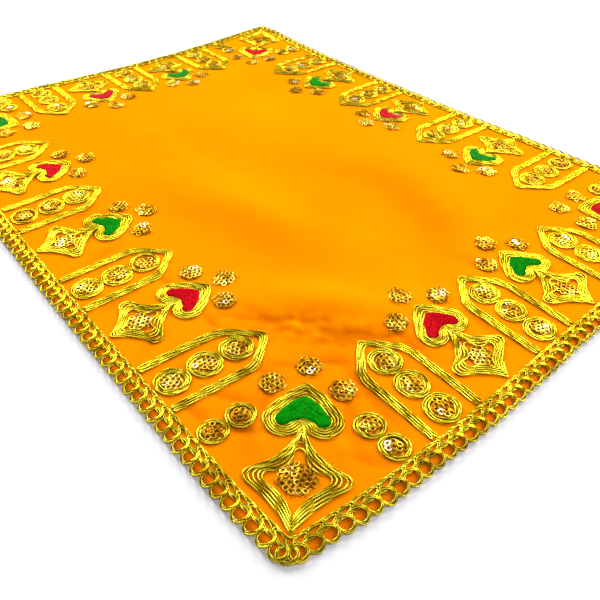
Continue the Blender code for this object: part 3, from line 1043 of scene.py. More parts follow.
class Wardrobe:
    """All the finishes as materials."""

    def __init__(self) -> None:
        """Makes every material."""
        effects = Effects()
        self.pile = PileFinish("orange_pile").make(effects)
        self.braid = GoldCordFinish("ring_braid_gold", lay_length=11.0 * MM).make(effects)
        self.cord = GoldCordFinish("couched_gold").make(effects)
        self.sequin = SequinFinish("gold_sequin").make(effects)
        self.silks = {
            Silk.GREEN: SilkFinish("green_silk", (0, 118, 0), (0, 172, 0)).make(effects),
            Silk.RED: SilkFinish("red_silk", (196, 0, 18), (238, 8, 34)).make(effects),
        }


def dress(piece: bpy.types.Object, material: bpy.types.Material, slot: str, *names: str) -> bpy.types.Object:
    """Finishes a piece: its material and its body, and hides the nodes that it stands for.

    Args:
        piece: The piece.
        material: Its material.
        slot: The record's material slot; not used.
        names: CAD nodes that it replaces.

    Returns:
        The piece.
    """
    piece.data.materials.append(material)
    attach(piece, BODY)
    if names:
        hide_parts(*names)
    LOG.info("%s: %d faces", piece.name, len(piece.data.polygons))
    return piece


@dataclass
class GroundSheet:
    """The orange cloth: one laid sheet with rounded corners, its main folds and its fine creases."""

    half_long: float = HALF_LONG - EDGE_OVERHANG
    half_short: float = HALF_SHORT - EDGE_OVERHANG
    radius: float = EDGE_RADIUS - EDGE_OVERHANG
    thick: float = 1.3 * MM
    edge_thick: float = 0.4 * MM
    edge_margin: float = 6.0 * MM
    edge_turn: float = 0.35 * MM
    edge_turn_reach: float = 0.9 * MM
    # Where the painted shadow under the braid's rings lies, and how far it reaches.
    braid_shadow_middle: float = 2.4 * MM
    braid_shadow_reach: float = 2.6 * MM
    spacing: float = 1.9 * MM

    def _with_round_corners(self, x: Row, y: Row) -> tuple[Row, Row]:
        """Draws the corner squares of a grid in to quarter discs.

        Args:
            x: Plan X of the grid's points.
            y: Plan Y of the grid's points.

        Returns:
            The points with round corners.
        """
        a = np.clip((np.abs(x) - (self.half_long - self.radius)) / self.radius, 0.0, 1.0)
        b = np.clip((np.abs(y) - (self.half_short - self.radius)) / self.radius, 0.0, 1.0)
        moved_x = x + np.sign(x) * (a * np.sqrt(1.0 - b**2 / 2) - a) * self.radius
        moved_y = y + np.sign(y) * (b * np.sqrt(1.0 - a**2 / 2) - b) * self.radius
        return moved_x, moved_y

    def build(self, wardrobe: Wardrobe) -> bpy.types.Object:
        """Builds and dresses the sheet as a closed thin body.

        Args:
            wardrobe: The finishes.

        Returns:
            The sheet.
        """
        columns = int(2 * self.half_long / self.spacing)
        rows = int(2 * self.half_short / self.spacing)
        grid = np.meshgrid(
            np.linspace(-self.half_long, self.half_long, columns + 1),
            np.linspace(-self.half_short, self.half_short, rows + 1),
        )
        x, y = self._with_round_corners(grid[0].ravel(), grid[1].ravel())
        inset = np.minimum(self.half_long - np.abs(x), self.half_short - np.abs(y))
        top = LAY.top(x, y)
        upper = top - self.edge_turn * bell(inset, self.edge_turn_reach)
        share = np.clip(inset / self.edge_margin - 0.3, 0.0, 1.0)
        thick = self.edge_thick + (self.thick - self.edge_thick) * share
        lower = np.minimum(np.maximum(top - thick, LAY.underside(x, y)), upper - self.edge_thick)
        plan = LAY.pull(x, y)
        points = np.vstack([np.column_stack([*plan, upper]), np.column_stack([*plan, lower])])
        width = columns + 1
        start = (np.arange(rows)[:, None] * width + np.arange(columns)[None]).ravel()
        faces_up = np.column_stack([start, start + 1, start + 1 + width, start + width])
        border = np.concatenate([
            np.arange(columns), np.arange(rows) * width + columns,
            rows * width + np.arange(columns, 0, -1), np.arange(rows, 0, -1) * width,
        ])
        following = np.roll(border, -1)
        rim = np.column_stack([border, border + len(x), following + len(x), following])
        quads = np.vstack([faces_up, faces_up[:, ::-1] + len(x), rim])
        draft = Draft()
        draft.add(points, quads, points[quads][:, :, :2])
        made = draft.make("laid_cloth")
        # The pile's painted shade mask, halved in a band under the braid's rings as painted shadow, stored on
        # the mesh.
        shaded = LAY.painted_shade(x, y) * (1.0 - 0.5 * bell(inset - self.braid_shadow_middle, self.braid_shadow_reach))
        made.data.attributes.new("painted_shade", "FLOAT", "POINT").data.foreach_set("value", np.tile(shaded, 2))
        return dress(made, wardrobe.pile, "orange_cloth", "ground_cloth")


@dataclass
class RingEdging:
    """The looped braid on the margin: rings of doubled cord, inner arcs and two closing strands."""

    draws: Draws
    long_loops: int = 66
    short_loops: int = 50
    line_depth: float = 3.3 * MM
    centre_depth: float = 3.0 * MM
    ring_along: float = 2.92 * MM
    ring_across: float = 2.8 * MM
    ring_height: float = 0.7 * MM
    lap: float = 0.36 * MM
    strand: float = 0.36 * MM
    doubling: float = 0.62 * MM
    droop: float = 1.3 * MM
    droop_depth: float = 2.6 * MM
    arc_depth: float = 6.35 * MM
    arc_radius: float = 1.75 * MM
    inner_height: float = 0.45 * MM
    arc_rise: float = 0.24 * MM
    arc_stretch: float = 1.75
    arc_slant: float = 1.1
    arc_squash: float = 0.92
    strand_depth: float = 8.1 * MM
    strand_wander: float = 0.14 * MM
    strand_swing: float = 0.34 * MM
    strand_rise: float = 0.16 * MM
    strand_waves: int = 116
    ring_points: int = 22
    arc_points: int = 18

    def _at(self, length: float, along: Row, depth: Row) -> Row:
        """Places on one side's edging.

        Args:
            length: The side's length.
            along: Distance along the line of ring centres.
            depth: Depth from the edge.

        Returns:
            Points as rows of s and d.
        """
        centre_radius = EDGE_RADIUS - self.line_depth
        corner = centre_radius * math.pi / 4
        total = 2 * corner + length - 2 * EDGE_RADIUS
        from_end = np.minimum(along, total - along)
        angle = math.radians(225.0) + from_end / centre_radius
        reach = np.maximum(EDGE_RADIUS - depth, 0.25 * MM)
        s_bend = EDGE_RADIUS + reach * np.cos(angle)
        s_bend = np.where(along < total / 2, s_bend, length - s_bend)
        straight = from_end >= corner
        s = np.where(straight, EDGE_RADIUS + along - corner, s_bend)
        return np.column_stack([s, np.where(straight, depth, EDGE_RADIUS + reach * np.sin(angle))])

    def _sides(self) -> Iterable[tuple[Side, int, float]]:
        """Goes through the sides.

        Yields:
            Each side, its number of rings and their pitch.
        """
        for side in SIDES.values():
            count = self.long_loops if side.length == LONG_SIDE else self.short_loops
            total = (EDGE_RADIUS - self.line_depth) * math.pi / 2 + side.length - 2 * EDGE_RADIUS
            yield side, count, total / count

    def _loop(self, draft: Draft, side: Side, along: Row, depth: Row, height: Row) -> None:
        """Adds one closed loop of strand.

        Args:
            draft: The mesh that it joins.
            side: Its side.
            along: Distance of its points along the line of ring centres.
            depth: Their depth from the edge.
            height: Their height above the cloth.
        """
        draft.add_cord(Place(side).lay_down(self._at(side.length, along, depth), height), self.strand, 5)

    def rings(self) -> bpy.types.Object:
        """Builds the outer rings, each lapped over the next.

        Returns:
            The rings as one piece.
        """
        draft = Draft()
        turn = np.linspace(0.0, math.tau, self.ring_points, endpoint=False)
        for side, count, pitch in self._sides():
            flip = 1.0 if side.along[0] * side.inward[1] - side.along[1] * side.inward[0] > 0 else -1.0
            places = [index + 0.5 for index in range(count)]
            if side.length == LONG_SIDE:
                places += [0.0, float(count)]
            for index in places:
                size = self.draws.uniform(0.94, 1.05)
                middle = index * pitch + self.draws.uniform(-0.25, 0.25) * MM
                centre = self.centre_depth + self.draws.uniform(-0.1, 0.15) * MM
                for row in (-0.5, 0.5):
                    grown = row * self.doubling
                    along = middle + (self.ring_along * size + grown) * np.cos(turn)
                    depth = centre + (self.ring_across + grown) * np.sin(turn)
                    hang = self.droop * np.clip(1.0 - depth / self.droop_depth, 0.0, 1.2) ** 2
                    rise = self.ring_height + self.lap * np.cos(turn) * flip - hang
                    self._loop(draft, side, along, depth, rise + self.draws.uniform(-0.05, 0.05) * MM)
        return draft.make("ring_loops")

    def inner_arcs(self) -> bpy.types.Object:
        """Builds the inner arcs, as narrow closed turns that peep out between the rings.

        Returns:
            The arcs as one piece.
        """
        draft = Draft()
        turn = np.linspace(0.0, math.tau, self.arc_points, endpoint=False)
        height = self.inner_height + self.arc_rise * np.cos(turn)
        for side, count, pitch in self._sides():
            for index in range(count):
                middle = (index + 1.0) * pitch + self.draws.uniform(-0.4, 0.4) * MM
                if index == count - 1:
                    continue
                size = self.draws.uniform(0.9, 1.05)
                for row in (-0.5, 0.5):
                    reach = self.arc_radius * size + row * self.doubling
                    along = middle + self.arc_stretch * reach * np.cos(turn)
                    along += self.arc_slant * reach * np.sin(turn)
                    depth = self.arc_depth + self.arc_squash * reach * np.sin(turn)
                    self._loop(draft, side, along, depth, height)
        return draft.make("ring_inner_arcs")

    def strands(self) -> bpy.types.Object:
        """Builds the two strands that close the braid on its inner side, round the whole cloth.

        Returns:
            The strands as one piece.
        """
        draft = Draft()
        corner = EDGE_RADIUS + 1.5 * MM
        outline = []
        for sign_x, sign_y, start in ((1, -1, -90.0), (1, 1, 0.0), (-1, 1, 90.0), (-1, -1, 180.0)):
            centre = (sign_x * (HALF_LONG - corner), sign_y * (HALF_SHORT - corner))
            outline.append(arc(centre, corner - self.strand_depth, start, start + 90.0, 6))
        middle = evenly(np.vstack(outline), 0.8 * MM)
        wave = np.linspace(0.0, math.tau, len(middle), endpoint=False)
        for phase in (0.0, math.pi):
            plan = hand_laid(middle, self.strand_wander, self.draws)
            swing = self.strand_swing * np.sin(self.strand_waves * wave + phase)
            plan = plan + unit(plan) * swing[:, None]
            x, y = plan.T
            rise = self.strand_rise * np.sin(2 * self.strand_waves * wave + phase)
            height = LAY.top(x, y) + self.inner_height + rise
            draft.add_cord(np.column_stack([*LAY.pull(x, y), height]), self.strand, 6)
        return draft.make("ring_strands")

    def build(self, wardrobe: Wardrobe) -> list[bpy.types.Object]:
        """Builds and dresses the edging.

        Args:
            wardrobe: The finishes.

        Returns:
            Its pieces.
        """
        nodes = [f"ring_edging_{name}" for name in SIDES]
        worn = [dress(self.rings(), wardrobe.braid, "ring_braid", *nodes)]
        for piece in (self.inner_arcs(), self.strands()):
            worn.append(dress(piece, wardrobe.braid, "ring_braid"))
        return worn


@dataclass(frozen=True)
class Turn:
    """One closed turn of cord: its outline, its extra height past a depth, and where its bends start."""

    outline: Row
    lift: float = 0.0
    over: float = 0.0
    bend: float = 2.2 * MM


@dataclass
class CordWork:
    """Couched cord: closed turns laid side by side, that make up a motif."""

    draws: Draws
    radius: float = 0.48 * MM
    step: float = 0.8 * MM
    sides: int = 6
    wander: float = 0.16 * MM
    seat: float = 0.9
    climb: float = 3.0 * MM
    unevenness: float = 0.08 * MM
    waves: int = 9

    def turns(self) -> Iterable[Turn]:
        """Goes through the motif's turns of cord. Each motif has its own."""
        raise NotImplementedError

    def build(self, name: str, place: Place) -> bpy.types.Object:
        """Lays the motif's turns on the cloth.

        Args:
            name: The piece's name.
            place: Where it is.

        Returns:
            The piece.
        """
        draft = Draft()
        for turn in self.turns():
            line = evenly(rounded(divided(turn.outline, turn.bend), 2), self.step)
            flat = hand_laid(line, self.wander, self.draws)
            around = np.linspace(0.0, math.tau, len(flat), endpoint=False)
            raised = turn.lift * np.clip((flat[:, 1] - turn.over) / self.climb, 0.0, 1.0)
            level = self.radius * self.seat + self.draws.uniform(-0.12, 0.14) * MM
            wave = self.unevenness * np.sin(self.waves * around + self.draws.uniform(0, 6.28))
            radius = self.radius * self.draws.uniform(0.9, 1.06)
            draft.add_cord(place.lay_down(flat, level + raised + wave), radius, self.sides)
        return draft.make(name)


@dataclass
class CircleWork(CordWork):
    """A motif with a chain of cord circles, each round a bed of sequins."""

    title: str = "pair"
    node: str = "circle_pair"
    circles: int = 2
    circle_radius: float = 6.1 * MM
    circle_pitch: float = 11.9 * MM
    circle_first: float = 15.0 * MM
    cluster: float = 3.4 * MM
    bed_past: float = 0.8

    def circle_at(self, number: int) -> float:
        """Depth of a circle's middle from the edge."""
        return self.circle_first + number * self.circle_pitch

    def circle(self, number: int, count: int) -> Iterable[Turn]:
        """Goes through the turns of one circle.

        Args:
            number: Its number in the chain, from 0.
            count: How many turns of cord it has.

        Yields:
            Its turns, from the outermost.
        """
        shift = self.draws.uniform(-0.25, 0.25) * MM
        for turn in range(count):
            reach = self.circle_radius - (turn + 0.5) * 2.0 * self.radius * 0.98
            squash = self.draws.uniform(0.97, 1.03)
            outline = arc((0.0, 0.0), reach, 0.0, 345.0, 23) * (squash, 1.0)
            yield Turn(outline + (shift, self.circle_at(number)))

    def turns(self) -> Iterable[Turn]:
        """Goes through the circles of two turns each."""
        for number in range(self.circles):
            yield from self.circle(number, 2)


@dataclass
class ArchMotif(CircleWork):
    """A pointed arch of doubled cord rows with three circles in a chain."""

    title: str = "arch"
    node: str = "arch_cord"
    circles: int = 3
    circle_radius: float = 7.4 * MM
    circle_pitch: float = 14.6 * MM
    circle_first: float = 16.4 * MM
    cluster: float = 3.9 * MM
    bed_past: float = 0.9
    half_width: float = 12.75 * MM
    band: float = 4.2 * MM
    rows: int = 4
    shoulder: float = 45.3 * MM
    tip: float = 60.0 * MM
    two_turn_share: float = 0.12

    def _row(self, number: float) -> Row:
        """Draws one row of the arch from its right base over the tip to its left base.

        Args:
            number: The row's number plus a half, counted from the outermost.

        Returns:
            The row as s and d.
        """
        inset = number * self.band / self.rows - self.band / 2
        roof = math.atan2(self.tip - self.shoulder, self.half_width)
        side = self.half_width - inset
        bend = self.tip - inset / math.cos(roof) - side * math.tan(roof)
        peak = self.tip - 0.72 * inset / math.cos(roof)
        half = np.array([
            (side, MOTIF_BASE + 0.5 * MM), (side, (MOTIF_BASE + bend) / 2), (side, bend - 2.5 * MM),
            (side - 1.6 * MM, bend + 2.2 * MM), (2.2 * MM, peak - 2.7 * MM), (0.0, peak - 1.4 * MM),
        ])
        return mirrored(half)

    def turns(self) -> Iterable[Turn]:
        """Goes through the arch, two rows to a closed turn with hairpins at the bases, and the circles."""
        for row in range(0, self.rows, 2):
            yield Turn(np.vstack([self._row(row + 0.5), self._row(row + 1.5)[::-1]]))
        for number in range(self.circles):
            yield from self.circle(number, 3 if self.draws.uniform() > self.two_turn_share else 2)


@dataclass
class HeartMotif(CordWork):
    """A heart with a hollow-sided diamond at its cleft, each worked in five rows of cord."""

    near: float = MOTIF_BASE
    middle: float = 24.0 * MM
    half_width: float = 15.6 * MM
    hollow: float = 2.3 * MM
    near_hollow: float = 1.7 * MM
    tip: float = 61.6 * MM
    scale: float = 1.0
    heart_half_width: float = 13.7 * MM
    heart_depth: float = 25.0 * MM
    heart_lobe: float = 7.2 * MM
    heart_band: float = 4.7 * MM
    heart_rows: int = 5
    swell: float = 0.8 * MM
    diamond_band: float = 4.9 * MM
    diamond_spread: tuple[float, ...] = (0.8 * MM, 0.5 * MM, 0.1 * MM, -0.2 * MM, -0.3 * MM)
    diamond_tops: tuple[float, ...] = (4.4 * MM, 3.2 * MM, 1.8 * MM, -1.4 * MM, -4.2 * MM)
    rows_to_cleft: int = 3
    blunt: tuple[float, float] = (1.1 * MM, 2.3 * MM)
    crossing_lift: float = 0.8 * MM
    crossing_start: float = 4.0 * MM
    heart_bend: float = 3.2 * MM
    diamond_bend: float = 3.0 * MM

    @property
    def band(self) -> float:
        """Width of the heart's band of cord."""
        return self.heart_band * self.scale

    @property
    def cleft(self) -> float:
        """Depth of the heart's near end."""
        return self.tip - self.heart_depth * self.scale

    def heart_half(self, inset: float) -> Row:
        """Draws the right half of the heart from its cleft to its tip.

        Args:
            inset: How far it lies inside the outer outline.

        Returns:
            The half outline as s and d.
        """
        full = self.heart_lobe * self.scale
        lobe = full - inset
        across = self.heart_half_width * self.scale - full
        depth = self.cleft + full
        to_tip = math.atan2(self.tip - depth, -across)
        flank = to_tip - math.acos(full / math.hypot(across, self.tip - depth))
        start = -180.0 + math.degrees(math.acos(min(1.0, across / max(lobe, across))))
        lobe_arc = arc((across, depth), lobe, start, math.degrees(flank), 12)
        lobe_arc[0, 0] = 0.0
        if lobe <= across:
            lobe_arc[0, 1] = depth - lobe / 3 + 0.75 * max(0.0, inset - 2.6 * MM)
        end = self.tip - inset / math.sin(flank)
        swollen = (lobe_arc[-1] + (0.0, end)) / 2 + self.swell * np.array([math.cos(flank), math.sin(flank)])
        return np.vstack([lobe_arc, [swollen, (1.6 * MM, end - 2.0 * MM), (0.0, end - 1.0 * MM)]])

    def diamond_half(self, row: int) -> Row:
        """Draws the right half of one row of the diamond from its near point to its far one.

        Args:
            row: The row, counted from the outermost.

        Returns:
            The half outline as s and d.
        """
        inset = (row + 0.5) * self.diamond_band / len(self.diamond_spread)
        side = (self.half_width - inset * 1.35 + self.diamond_spread[row], self.middle)
        low = (side[0] - self.blunt[0], side[1] - self.blunt[1])
        high = (side[0] - self.blunt[0], side[1] + self.blunt[1])
        far = (0.0, self.cleft + self.diamond_tops[row])
        lower = bowed((0.0, self.near + inset * 1.4), low, -self.near_hollow, 6)
        ends = [far] if row < self.rows_to_cleft else [(2.0 * MM, far[1] - 1.6 * MM), far]
        return np.vstack([lower, [low, side], bowed(high, ends[0], -self.hollow, 6), ends])

    def turns(self) -> Iterable[Turn]:
        """Goes through the rows of the heart and of the diamond, whose outer rows cross over the heart's."""
        for row in range(self.heart_rows):
            inset = (row + 0.5) * self.band / self.heart_rows
            yield Turn(mirrored(self.heart_half(inset)), bend=self.heart_bend)
        over = self.cleft - self.crossing_start
        for row in range(len(self.diamond_spread)):
            lift = self.crossing_lift if row < self.rows_to_cleft else 0.0
            yield Turn(mirrored(self.diamond_half(row)), lift, over, self.diamond_bend)


@dataclass
class SatinHeart:
    """The raised satin stitch inside a heart: close threads across both halves, in two rows that meet."""

    draws: Draws
    pitch: float = 0.54 * MM
    radius: float = 0.31 * MM
    slant: float = 76.0
    dome: float = 0.30 * MM
    base: float = 0.75 * MM
    tuck: float = 0.12 * MM
    second_row: float = 0.48
    row_length: float = 0.52

    @staticmethod
    def _crossings(outline: Row, origin: Row, direction: Row) -> Row:
        """Finds where a line crosses a closed outline.

        Args:
            outline: The outline.
            origin: A point on the line.
            direction: The line's direction.

        Returns:
            Distances along the line, in order.
        """
        edges = np.roll(outline, -1, axis=0) - outline
        cross = direction[0] * edges[:, 1] - direction[1] * edges[:, 0]
        cross = np.where(np.abs(cross) < TINY, np.nan, cross)
        away = outline - origin
        on_line = (away[:, 0] * edges[:, 1] - away[:, 1] * edges[:, 0]) / cross
        on_edge = (away[:, 0] * direction[1] - away[:, 1] * direction[0]) / cross
        return np.sort(on_line[(on_edge >= 0.0) & (on_edge < 1.0)])

    def build(self, name: str, motif: HeartMotif, place: Place) -> bpy.types.Object:
        """Builds the stitches of both halves.

        Args:
            name: The piece's name.
            motif: The heart that holds them.
            place: Where it is.

        Returns:
            The piece.
        """
        draft = Draft()
        half = motif.heart_half(motif.band - 0.05 * MM)
        turn = math.radians(self.slant)
        direction = np.array([math.cos(turn), -math.sin(turn)])
        across = np.array([math.sin(turn), math.cos(turn)])
        reach = half @ across
        share = np.linspace(0.0, 1.0, 5)
        for mark in np.arange(reach.min() + self.pitch / 2, reach.max() - self.pitch / 4, self.pitch):
            crossings = self._crossings(half, across * mark, direction)
            if len(crossings) < 2 or crossings[-1] - crossings[0] < 2 * self.radius:
                continue
            low = crossings[0] - self.tuck
            length = crossings[-1] - low + self.tuck
            for sign, part in ((1.0, 0.0), (1.0, self.second_row), (-1.0, 0.0), (-1.0, self.second_row)):
                jitter = self.draws.uniform(-0.05, 0.05) * MM
                along = low + length * (part + self.row_length * share)
                flat = (across * (mark + jitter) + along[:, None] * direction) * (sign, 1.0)
                inner = share if part == 0.0 else 1.0 - share
                rise = self.dome * np.sin(math.pi * (0.10 + 0.46 * inner))
                height = self.base + rise + self.draws.uniform(-0.04, 0.04) * MM
                draft.add_cord(place.lay_down(flat, height), self.radius, 4, closed=False)
        return draft.make(name)


@dataclass
class SequinWork:
    """Small ring sequins sewn in close clusters. A section holds shares of the radius and heights in mm."""

    draws: Draws
    radius: float = 1.42 * MM
    segments: int = 12
    pitch: float = 2.14 * MM
    scatter: float = 0.16
    tilt: float = 0.15
    dome: float = 0.42 * MM
    seat: float = 0.35 * MM
    row_share: float = 0.87
    # How far from a random spot in a cluster sequins get a painted glint.
    glint_reach: float = 1.8 * MM
    section: tuple[tuple[float, float], ...] = (
        (1.0, 0.08), (0.84, 0.22), (0.56, 0.18), (0.44, 0.06), (0.7, 0.0),
    )
    bed_section: tuple[tuple[float, float], ...] = (
        (1.0, -0.2), (0.95, 0.22), (0.5, 0.50), (0.04, 0.60), (0.04, -0.25),
    )

    def _turned(self, radius: float, section: tuple[tuple[float, float], ...]) -> tuple[Row, Row, Row]:
        """Makes a turned form.

        Args:
            radius: Its outer radius.
            section: Its section.

        Returns:
            Its points, faces and thread coordinates.
        """
        around = np.arange(self.segments)
        following = (around + 1) % self.segments
        turn = math.tau * around / self.segments
        rings = []
        quads = []
        for number, (share, height) in enumerate(section):
            low = number * self.segments
            high = (number + 1) % len(section) * self.segments
            flat = radius * share * np.column_stack([np.cos(turn), np.sin(turn)])
            rings.append(np.column_stack([flat, np.full(self.segments, height * MM)]))
            quads.append(np.column_stack([low + around, low + following, high + following, high + around]))
        faces = np.vstack(quads)
        return np.vstack(rings), faces, np.zeros((len(faces), 4, 2))

    def _spun(self) -> Row:
        """Draws one sequin's small tilt and its spin.

        Returns:
            Both as one matrix.
        """
        tilt = Matrix.Rotation(self.draws.normal(0.0, self.tilt), 3, "X")
        tilt = tilt @ Matrix.Rotation(self.draws.normal(0.0, self.tilt), 3, "Y")
        return np.array(tilt @ Matrix.Rotation(self.draws.uniform(0, 6.28), 3, "Z"))

    def sew(
        self, draft: Draft, place: Place, centre: tuple[float, float], reach: float, bed_past: float = 0.3
    ) -> None:
        """Sews one cluster.

        Args:
            draft: The mesh that it joins.
            place: Where the motif is.
            centre: The cluster's middle as s and d.
            reach: How far sequin centres lie from the middle.
            bed_past: How far its bed goes past the outer sequins' middles, in sequin radii.
        """
        bed, faces, threads = self._turned(reach + bed_past * self.radius, self.bed_section)
        draft.add(bed + place.lay_down(np.array([centre]), 0.1 * MM), faces, threads, bed=1.0)
        points, faces, threads = self._turned(self.radius, self.section)
        turn = self.draws.uniform(0, math.pi)
        # A random spot; in some clusters it falls near enough to give painted glints.
        shine = self.draws.uniform(-1.5, 1.5, 2) * reach
        offset = self.draws.uniform(-0.5, 0.5, 2)
        steps = int(reach / self.pitch) + 2
        for row in range(-steps, steps + 1):
            for column in range(-steps, steps + 1):
                a = (column + 0.5 * (row % 2) + offset[0]) * self.pitch
                b = (row + offset[1]) * self.pitch * self.row_share
                s = a * math.cos(turn) - b * math.sin(turn)
                d = a * math.sin(turn) + b * math.cos(turn)
                away = math.hypot(s, d)
                if away > reach + 0.05 * MM:
                    continue
                s += self.draws.normal(0.0, self.scatter) * MM
                d += self.draws.normal(0.0, self.scatter) * MM
                sequin = points @ self._spun().T
                rise = self.dome * (1.0 - (away / (reach + self.radius)) ** 2)
                height = self.seat + rise + self.draws.uniform(0.0, 0.2) * MM
                spot = place.lay_down(np.array([[centre[0] + s, centre[1] + d]]), height)
                # Sequins near the spot are marked 0.5 for a painted glint.
                lit = 0.5 if math.dist((s, d), shine) < self.glint_reach else 0.0
                draft.add(sequin + spot, faces, threads, bed=lit)


@dataclass
class Border:
    """The whole worked border: its cord, stitches and sequins, side by side and at the corners."""

    wardrobe: Wardrobe
    draws: Draws
    pair_station: float = 59.4 * MM
    sequins: SequinWork = field(init=False)
    sewn: dict[str, Draft] = field(default_factory=dict)
    pieces: list[bpy.types.Object] = field(default_factory=list)

    def __post_init__(self) -> None:
        """Gets the sequins ready."""
        self.sequins = SequinWork(self.draws)

    def _heart(self, label: str, motif: HeartMotif, place: Place, silk: Silk, sewn: Draft) -> None:
        """Works one heart with its diamond, its stitches and its clusters.

        Args:
            label: The motif's name, as its nodes have it.
            motif: Its shape.
            place: Where it is.
            silk: Its thread colour.
            sewn: The sequins of its side.
        """
        cord = motif.build(f"couched_heart_{label}", place)
        self.pieces.append(dress(cord, self.wardrobe.cord, "gold_cord", f"heart_cord_{label}"))
        fill = SatinHeart(self.draws).build(f"satin_heart_{label}", motif, place)
        self.pieces.append(dress(fill, self.wardrobe.silks[silk], silk.value, f"heart_fill_{label}"))
        inside = FREE_CLUSTER * (motif.half_width / HeartMotif.half_width) ** 1.7
        self.sequins.sew(sewn, place, (0.0, motif.middle - 0.2 * MM), inside)
        for across, beyond in CLUSTERS_ROUND_TIP:
            shift = self.draws.uniform(-0.8, 0.8, 2) * MM
            centre = (across * MM + shift[0], motif.tip + beyond * MM + shift[1])
            self.sequins.sew(sewn, place, centre, FREE_CLUSTER)

    def _chain(self, label: str, motif: CircleWork, place: Place, sewn: Draft) -> None:
        """Works one motif that has a chain of circles, with the sequins in them.

        Args:
            label: The motif's name, as its node has it.
            motif: Its shape.
            place: Where it is.
            sewn: The sequins of its side.
        """
        cord = motif.build(f"couched_{motif.title}_{label}", place)
        self.pieces.append(dress(cord, self.wardrobe.cord, "gold_cord", f"{motif.node}_{label}"))
        for number in range(motif.circles):
            self.sequins.sew(sewn, place, (0.0, motif.circle_at(number)), motif.cluster, motif.bed_past)

    def build_side(self, name: str) -> None:
        """Works one side.

        Args:
            name: The side's name.
        """
        side = SIDES[name]
        sewn = self.sewn.setdefault(name, Draft())
        numbers = {Motif.ARCH: 0, Motif.HEART: 0}
        for station in STATIONS[name]:
            numbers[station.kind] += 1
            label = f"{name}_{numbers[station.kind]}"
            place = Place(side, station.at * MM, station.lean)
            if station.kind is Motif.HEART:
                self._heart(label, HeartMotif(self.draws), place, station.silk, sewn)
            else:
                self._chain(label, ArchMotif(self.draws), place, sewn)
        for number, at in enumerate((self.pair_station, side.length - self.pair_station), 1):
            self._chain(f"{name}_{number}", CircleWork(self.draws), Place(side, at), sewn)

    def build_corners(self) -> None:
        """Works the larger heart motifs on the corners' diagonals."""
        sewn = self.sewn.setdefault("corners", Draft())
        for name, station in CORNER_STATIONS.items():
            motif = HeartMotif(
                self.draws, near=12.7 * MM, middle=35.8 * MM, half_width=17.8 * MM, hollow=3.0 * MM,
                tip=80.6 * MM, scale=1.1,
            )
            self._heart(name, motif, Place(CORNERS[name], station.at, station.lean), station.silk, sewn)

    def build(self) -> list[bpy.types.Object]:
        """Works the whole border. The sequins of each side, and of the corners, are one piece each.

        Returns:
            Its pieces.
        """
        for name in SIDES:
            self.build_side(name)
        self.build_corners()
        for name, draft in self.sewn.items():
            self.pieces.append(dress(draft.make(f"sequins_{name}"), self.wardrobe.sequin, "gold_cord"))
        return self.pieces


@dataclass(frozen=True)
class Lamp:
    """A soft square lamp: its name, its place, what it points at, its side and its power in watts."""

    name: str
    place: tuple[float, float, float]
    target: tuple[float, float, float]
    size: float
    power: float

    def build(self) -> None:
        """Hangs the lamp."""
        data = bpy.data.lights.new(self.name, "AREA")
        data.size = self.size
        data.energy = self.power
        lamp = bpy.data.objects.new(self.name, data)
        aim = Vector(self.place) - Vector(self.target)
        lamp.matrix_world = Matrix.Translation(self.place) @ aim.to_track_quat("Z", "Y").to_matrix().to_4x4()
        bpy.context.scene.collection.objects.link(lamp)


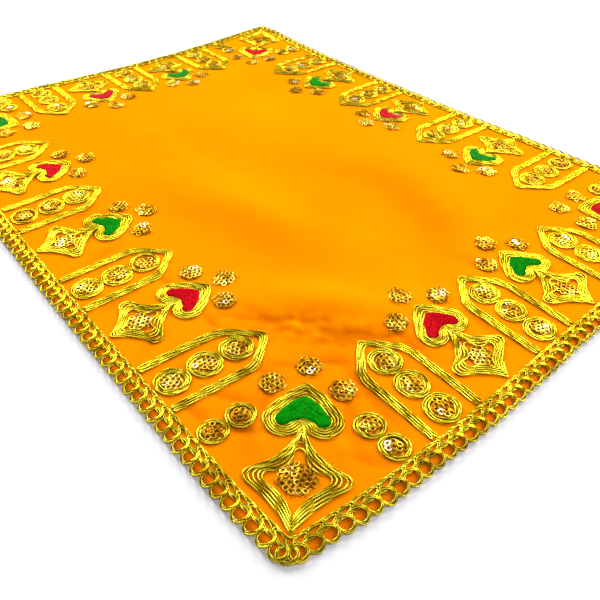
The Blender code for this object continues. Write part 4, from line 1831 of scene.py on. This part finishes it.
@dataclass
class Studio:
    """A plain pale floor, soft light and the camera at the photo's viewing angle."""

    camera_place: tuple[float, float, float] = (0.2623, -0.1996, 0.1789)
    azimuth: float = 49.45
    elevation: float = 41.07
    roll: float = 0.66
    lens: float = 36.2
    floor_size: float = 3.0
    floor_tone: tuple[float, float, float, float] = (0.73, 0.725, 0.75, 1.0)
    sky: float = 0.40
    lamps: tuple[Lamp, ...] = (
        Lamp("back_soft", (-0.22, 1.12, 0.68), (0.0, 0.0, 0.0), 0.6, 18.0),
        Lamp("front_soft", (0.46, -0.36, 0.80), (0.12, -0.08, 0.0), 0.35, 1.4),
        Lamp("left_soft", (-1.14, 0.02, 0.68), (0.0, 0.0, 0.0), 0.6, 17.4),
        Lamp("side_soft", (0.9, 0.55, 0.8), (0.1, -0.05, 0.0), 0.5, 5.0),
    )

    def build_camera(self) -> None:
        """Sets the camera above the front right corner."""
        data = bpy.data.cameras.new("photo_view")
        data.lens = self.lens
        data.sensor_width = 36.0
        data.clip_start = 0.01
        camera = bpy.data.objects.new("photo_view", data)
        turn = Matrix.Rotation(math.radians(self.azimuth), 4, "Z")
        tip = Matrix.Rotation(math.radians(90.0 - self.elevation), 4, "X")
        roll = Matrix.Rotation(math.radians(self.roll), 4, "Z")
        camera.matrix_world = Matrix.Translation(self.camera_place) @ turn @ tip @ roll
        bpy.context.scene.collection.objects.link(camera)
        bpy.context.scene.camera = camera

    def build_floor(self) -> None:
        """Lays the floor under the cloth."""
        bpy.ops.mesh.primitive_plane_add(size=self.floor_size)
        floor = bpy.context.object
        floor.name = "floor"
        material = bpy.data.materials.new("pale_floor")
        material.use_nodes = True
        shader = material.node_tree.nodes["Principled BSDF"]
        shader.inputs["Base Color"].default_value = self.floor_tone
        shader.inputs["Roughness"].default_value = 0.9
        shader.inputs["Specular IOR Level"].default_value = 0.1
        floor.data.materials.append(material)
        floor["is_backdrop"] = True

    def build_light(self) -> None:
        """Sets a bright even sky and the lamps."""
        world = bpy.data.worlds.new("studio_sky")
        world.use_nodes = True
        sky = world.node_tree.nodes["Background"]
        sky.inputs["Color"].default_value = (1.0, 1.0, 1.0, 1.0)
        sky.inputs["Strength"].default_value = self.sky
        bpy.context.scene.world = world
        for lamp in self.lamps:
            lamp.build()

    def build(self) -> None:
        """Sets up the camera, the floor and the light."""
        self.build_camera()
        self.build_floor()
        self.build_light()
        bpy.context.scene.view_settings.view_transform = "Standard"


def write_sizes() -> None:
    """Puts the solids' box and the dressed model's box into JSON text, which is then dropped."""
    boxes = {"cad": CAD_BOX, "visual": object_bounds()}
    json.dumps({name: [list(corner) for corner in box] for name, box in boxes.items()})


def main() -> None:
    """Builds the dressed altar cloth in order."""
    logging.basicConfig(level=logging.INFO, format="%(name)s %(message)s")
    draws = np.random.default_rng(41)
    Studio().build()
    wardrobe = Wardrobe()
    sheet = GroundSheet()
    cloth = sheet.build(wardrobe)
    worn = RingEdging(draws).build(wardrobe) + Border(wardrobe, draws).build()
    write_sizes()


if __name__ == "__main__":
    main()
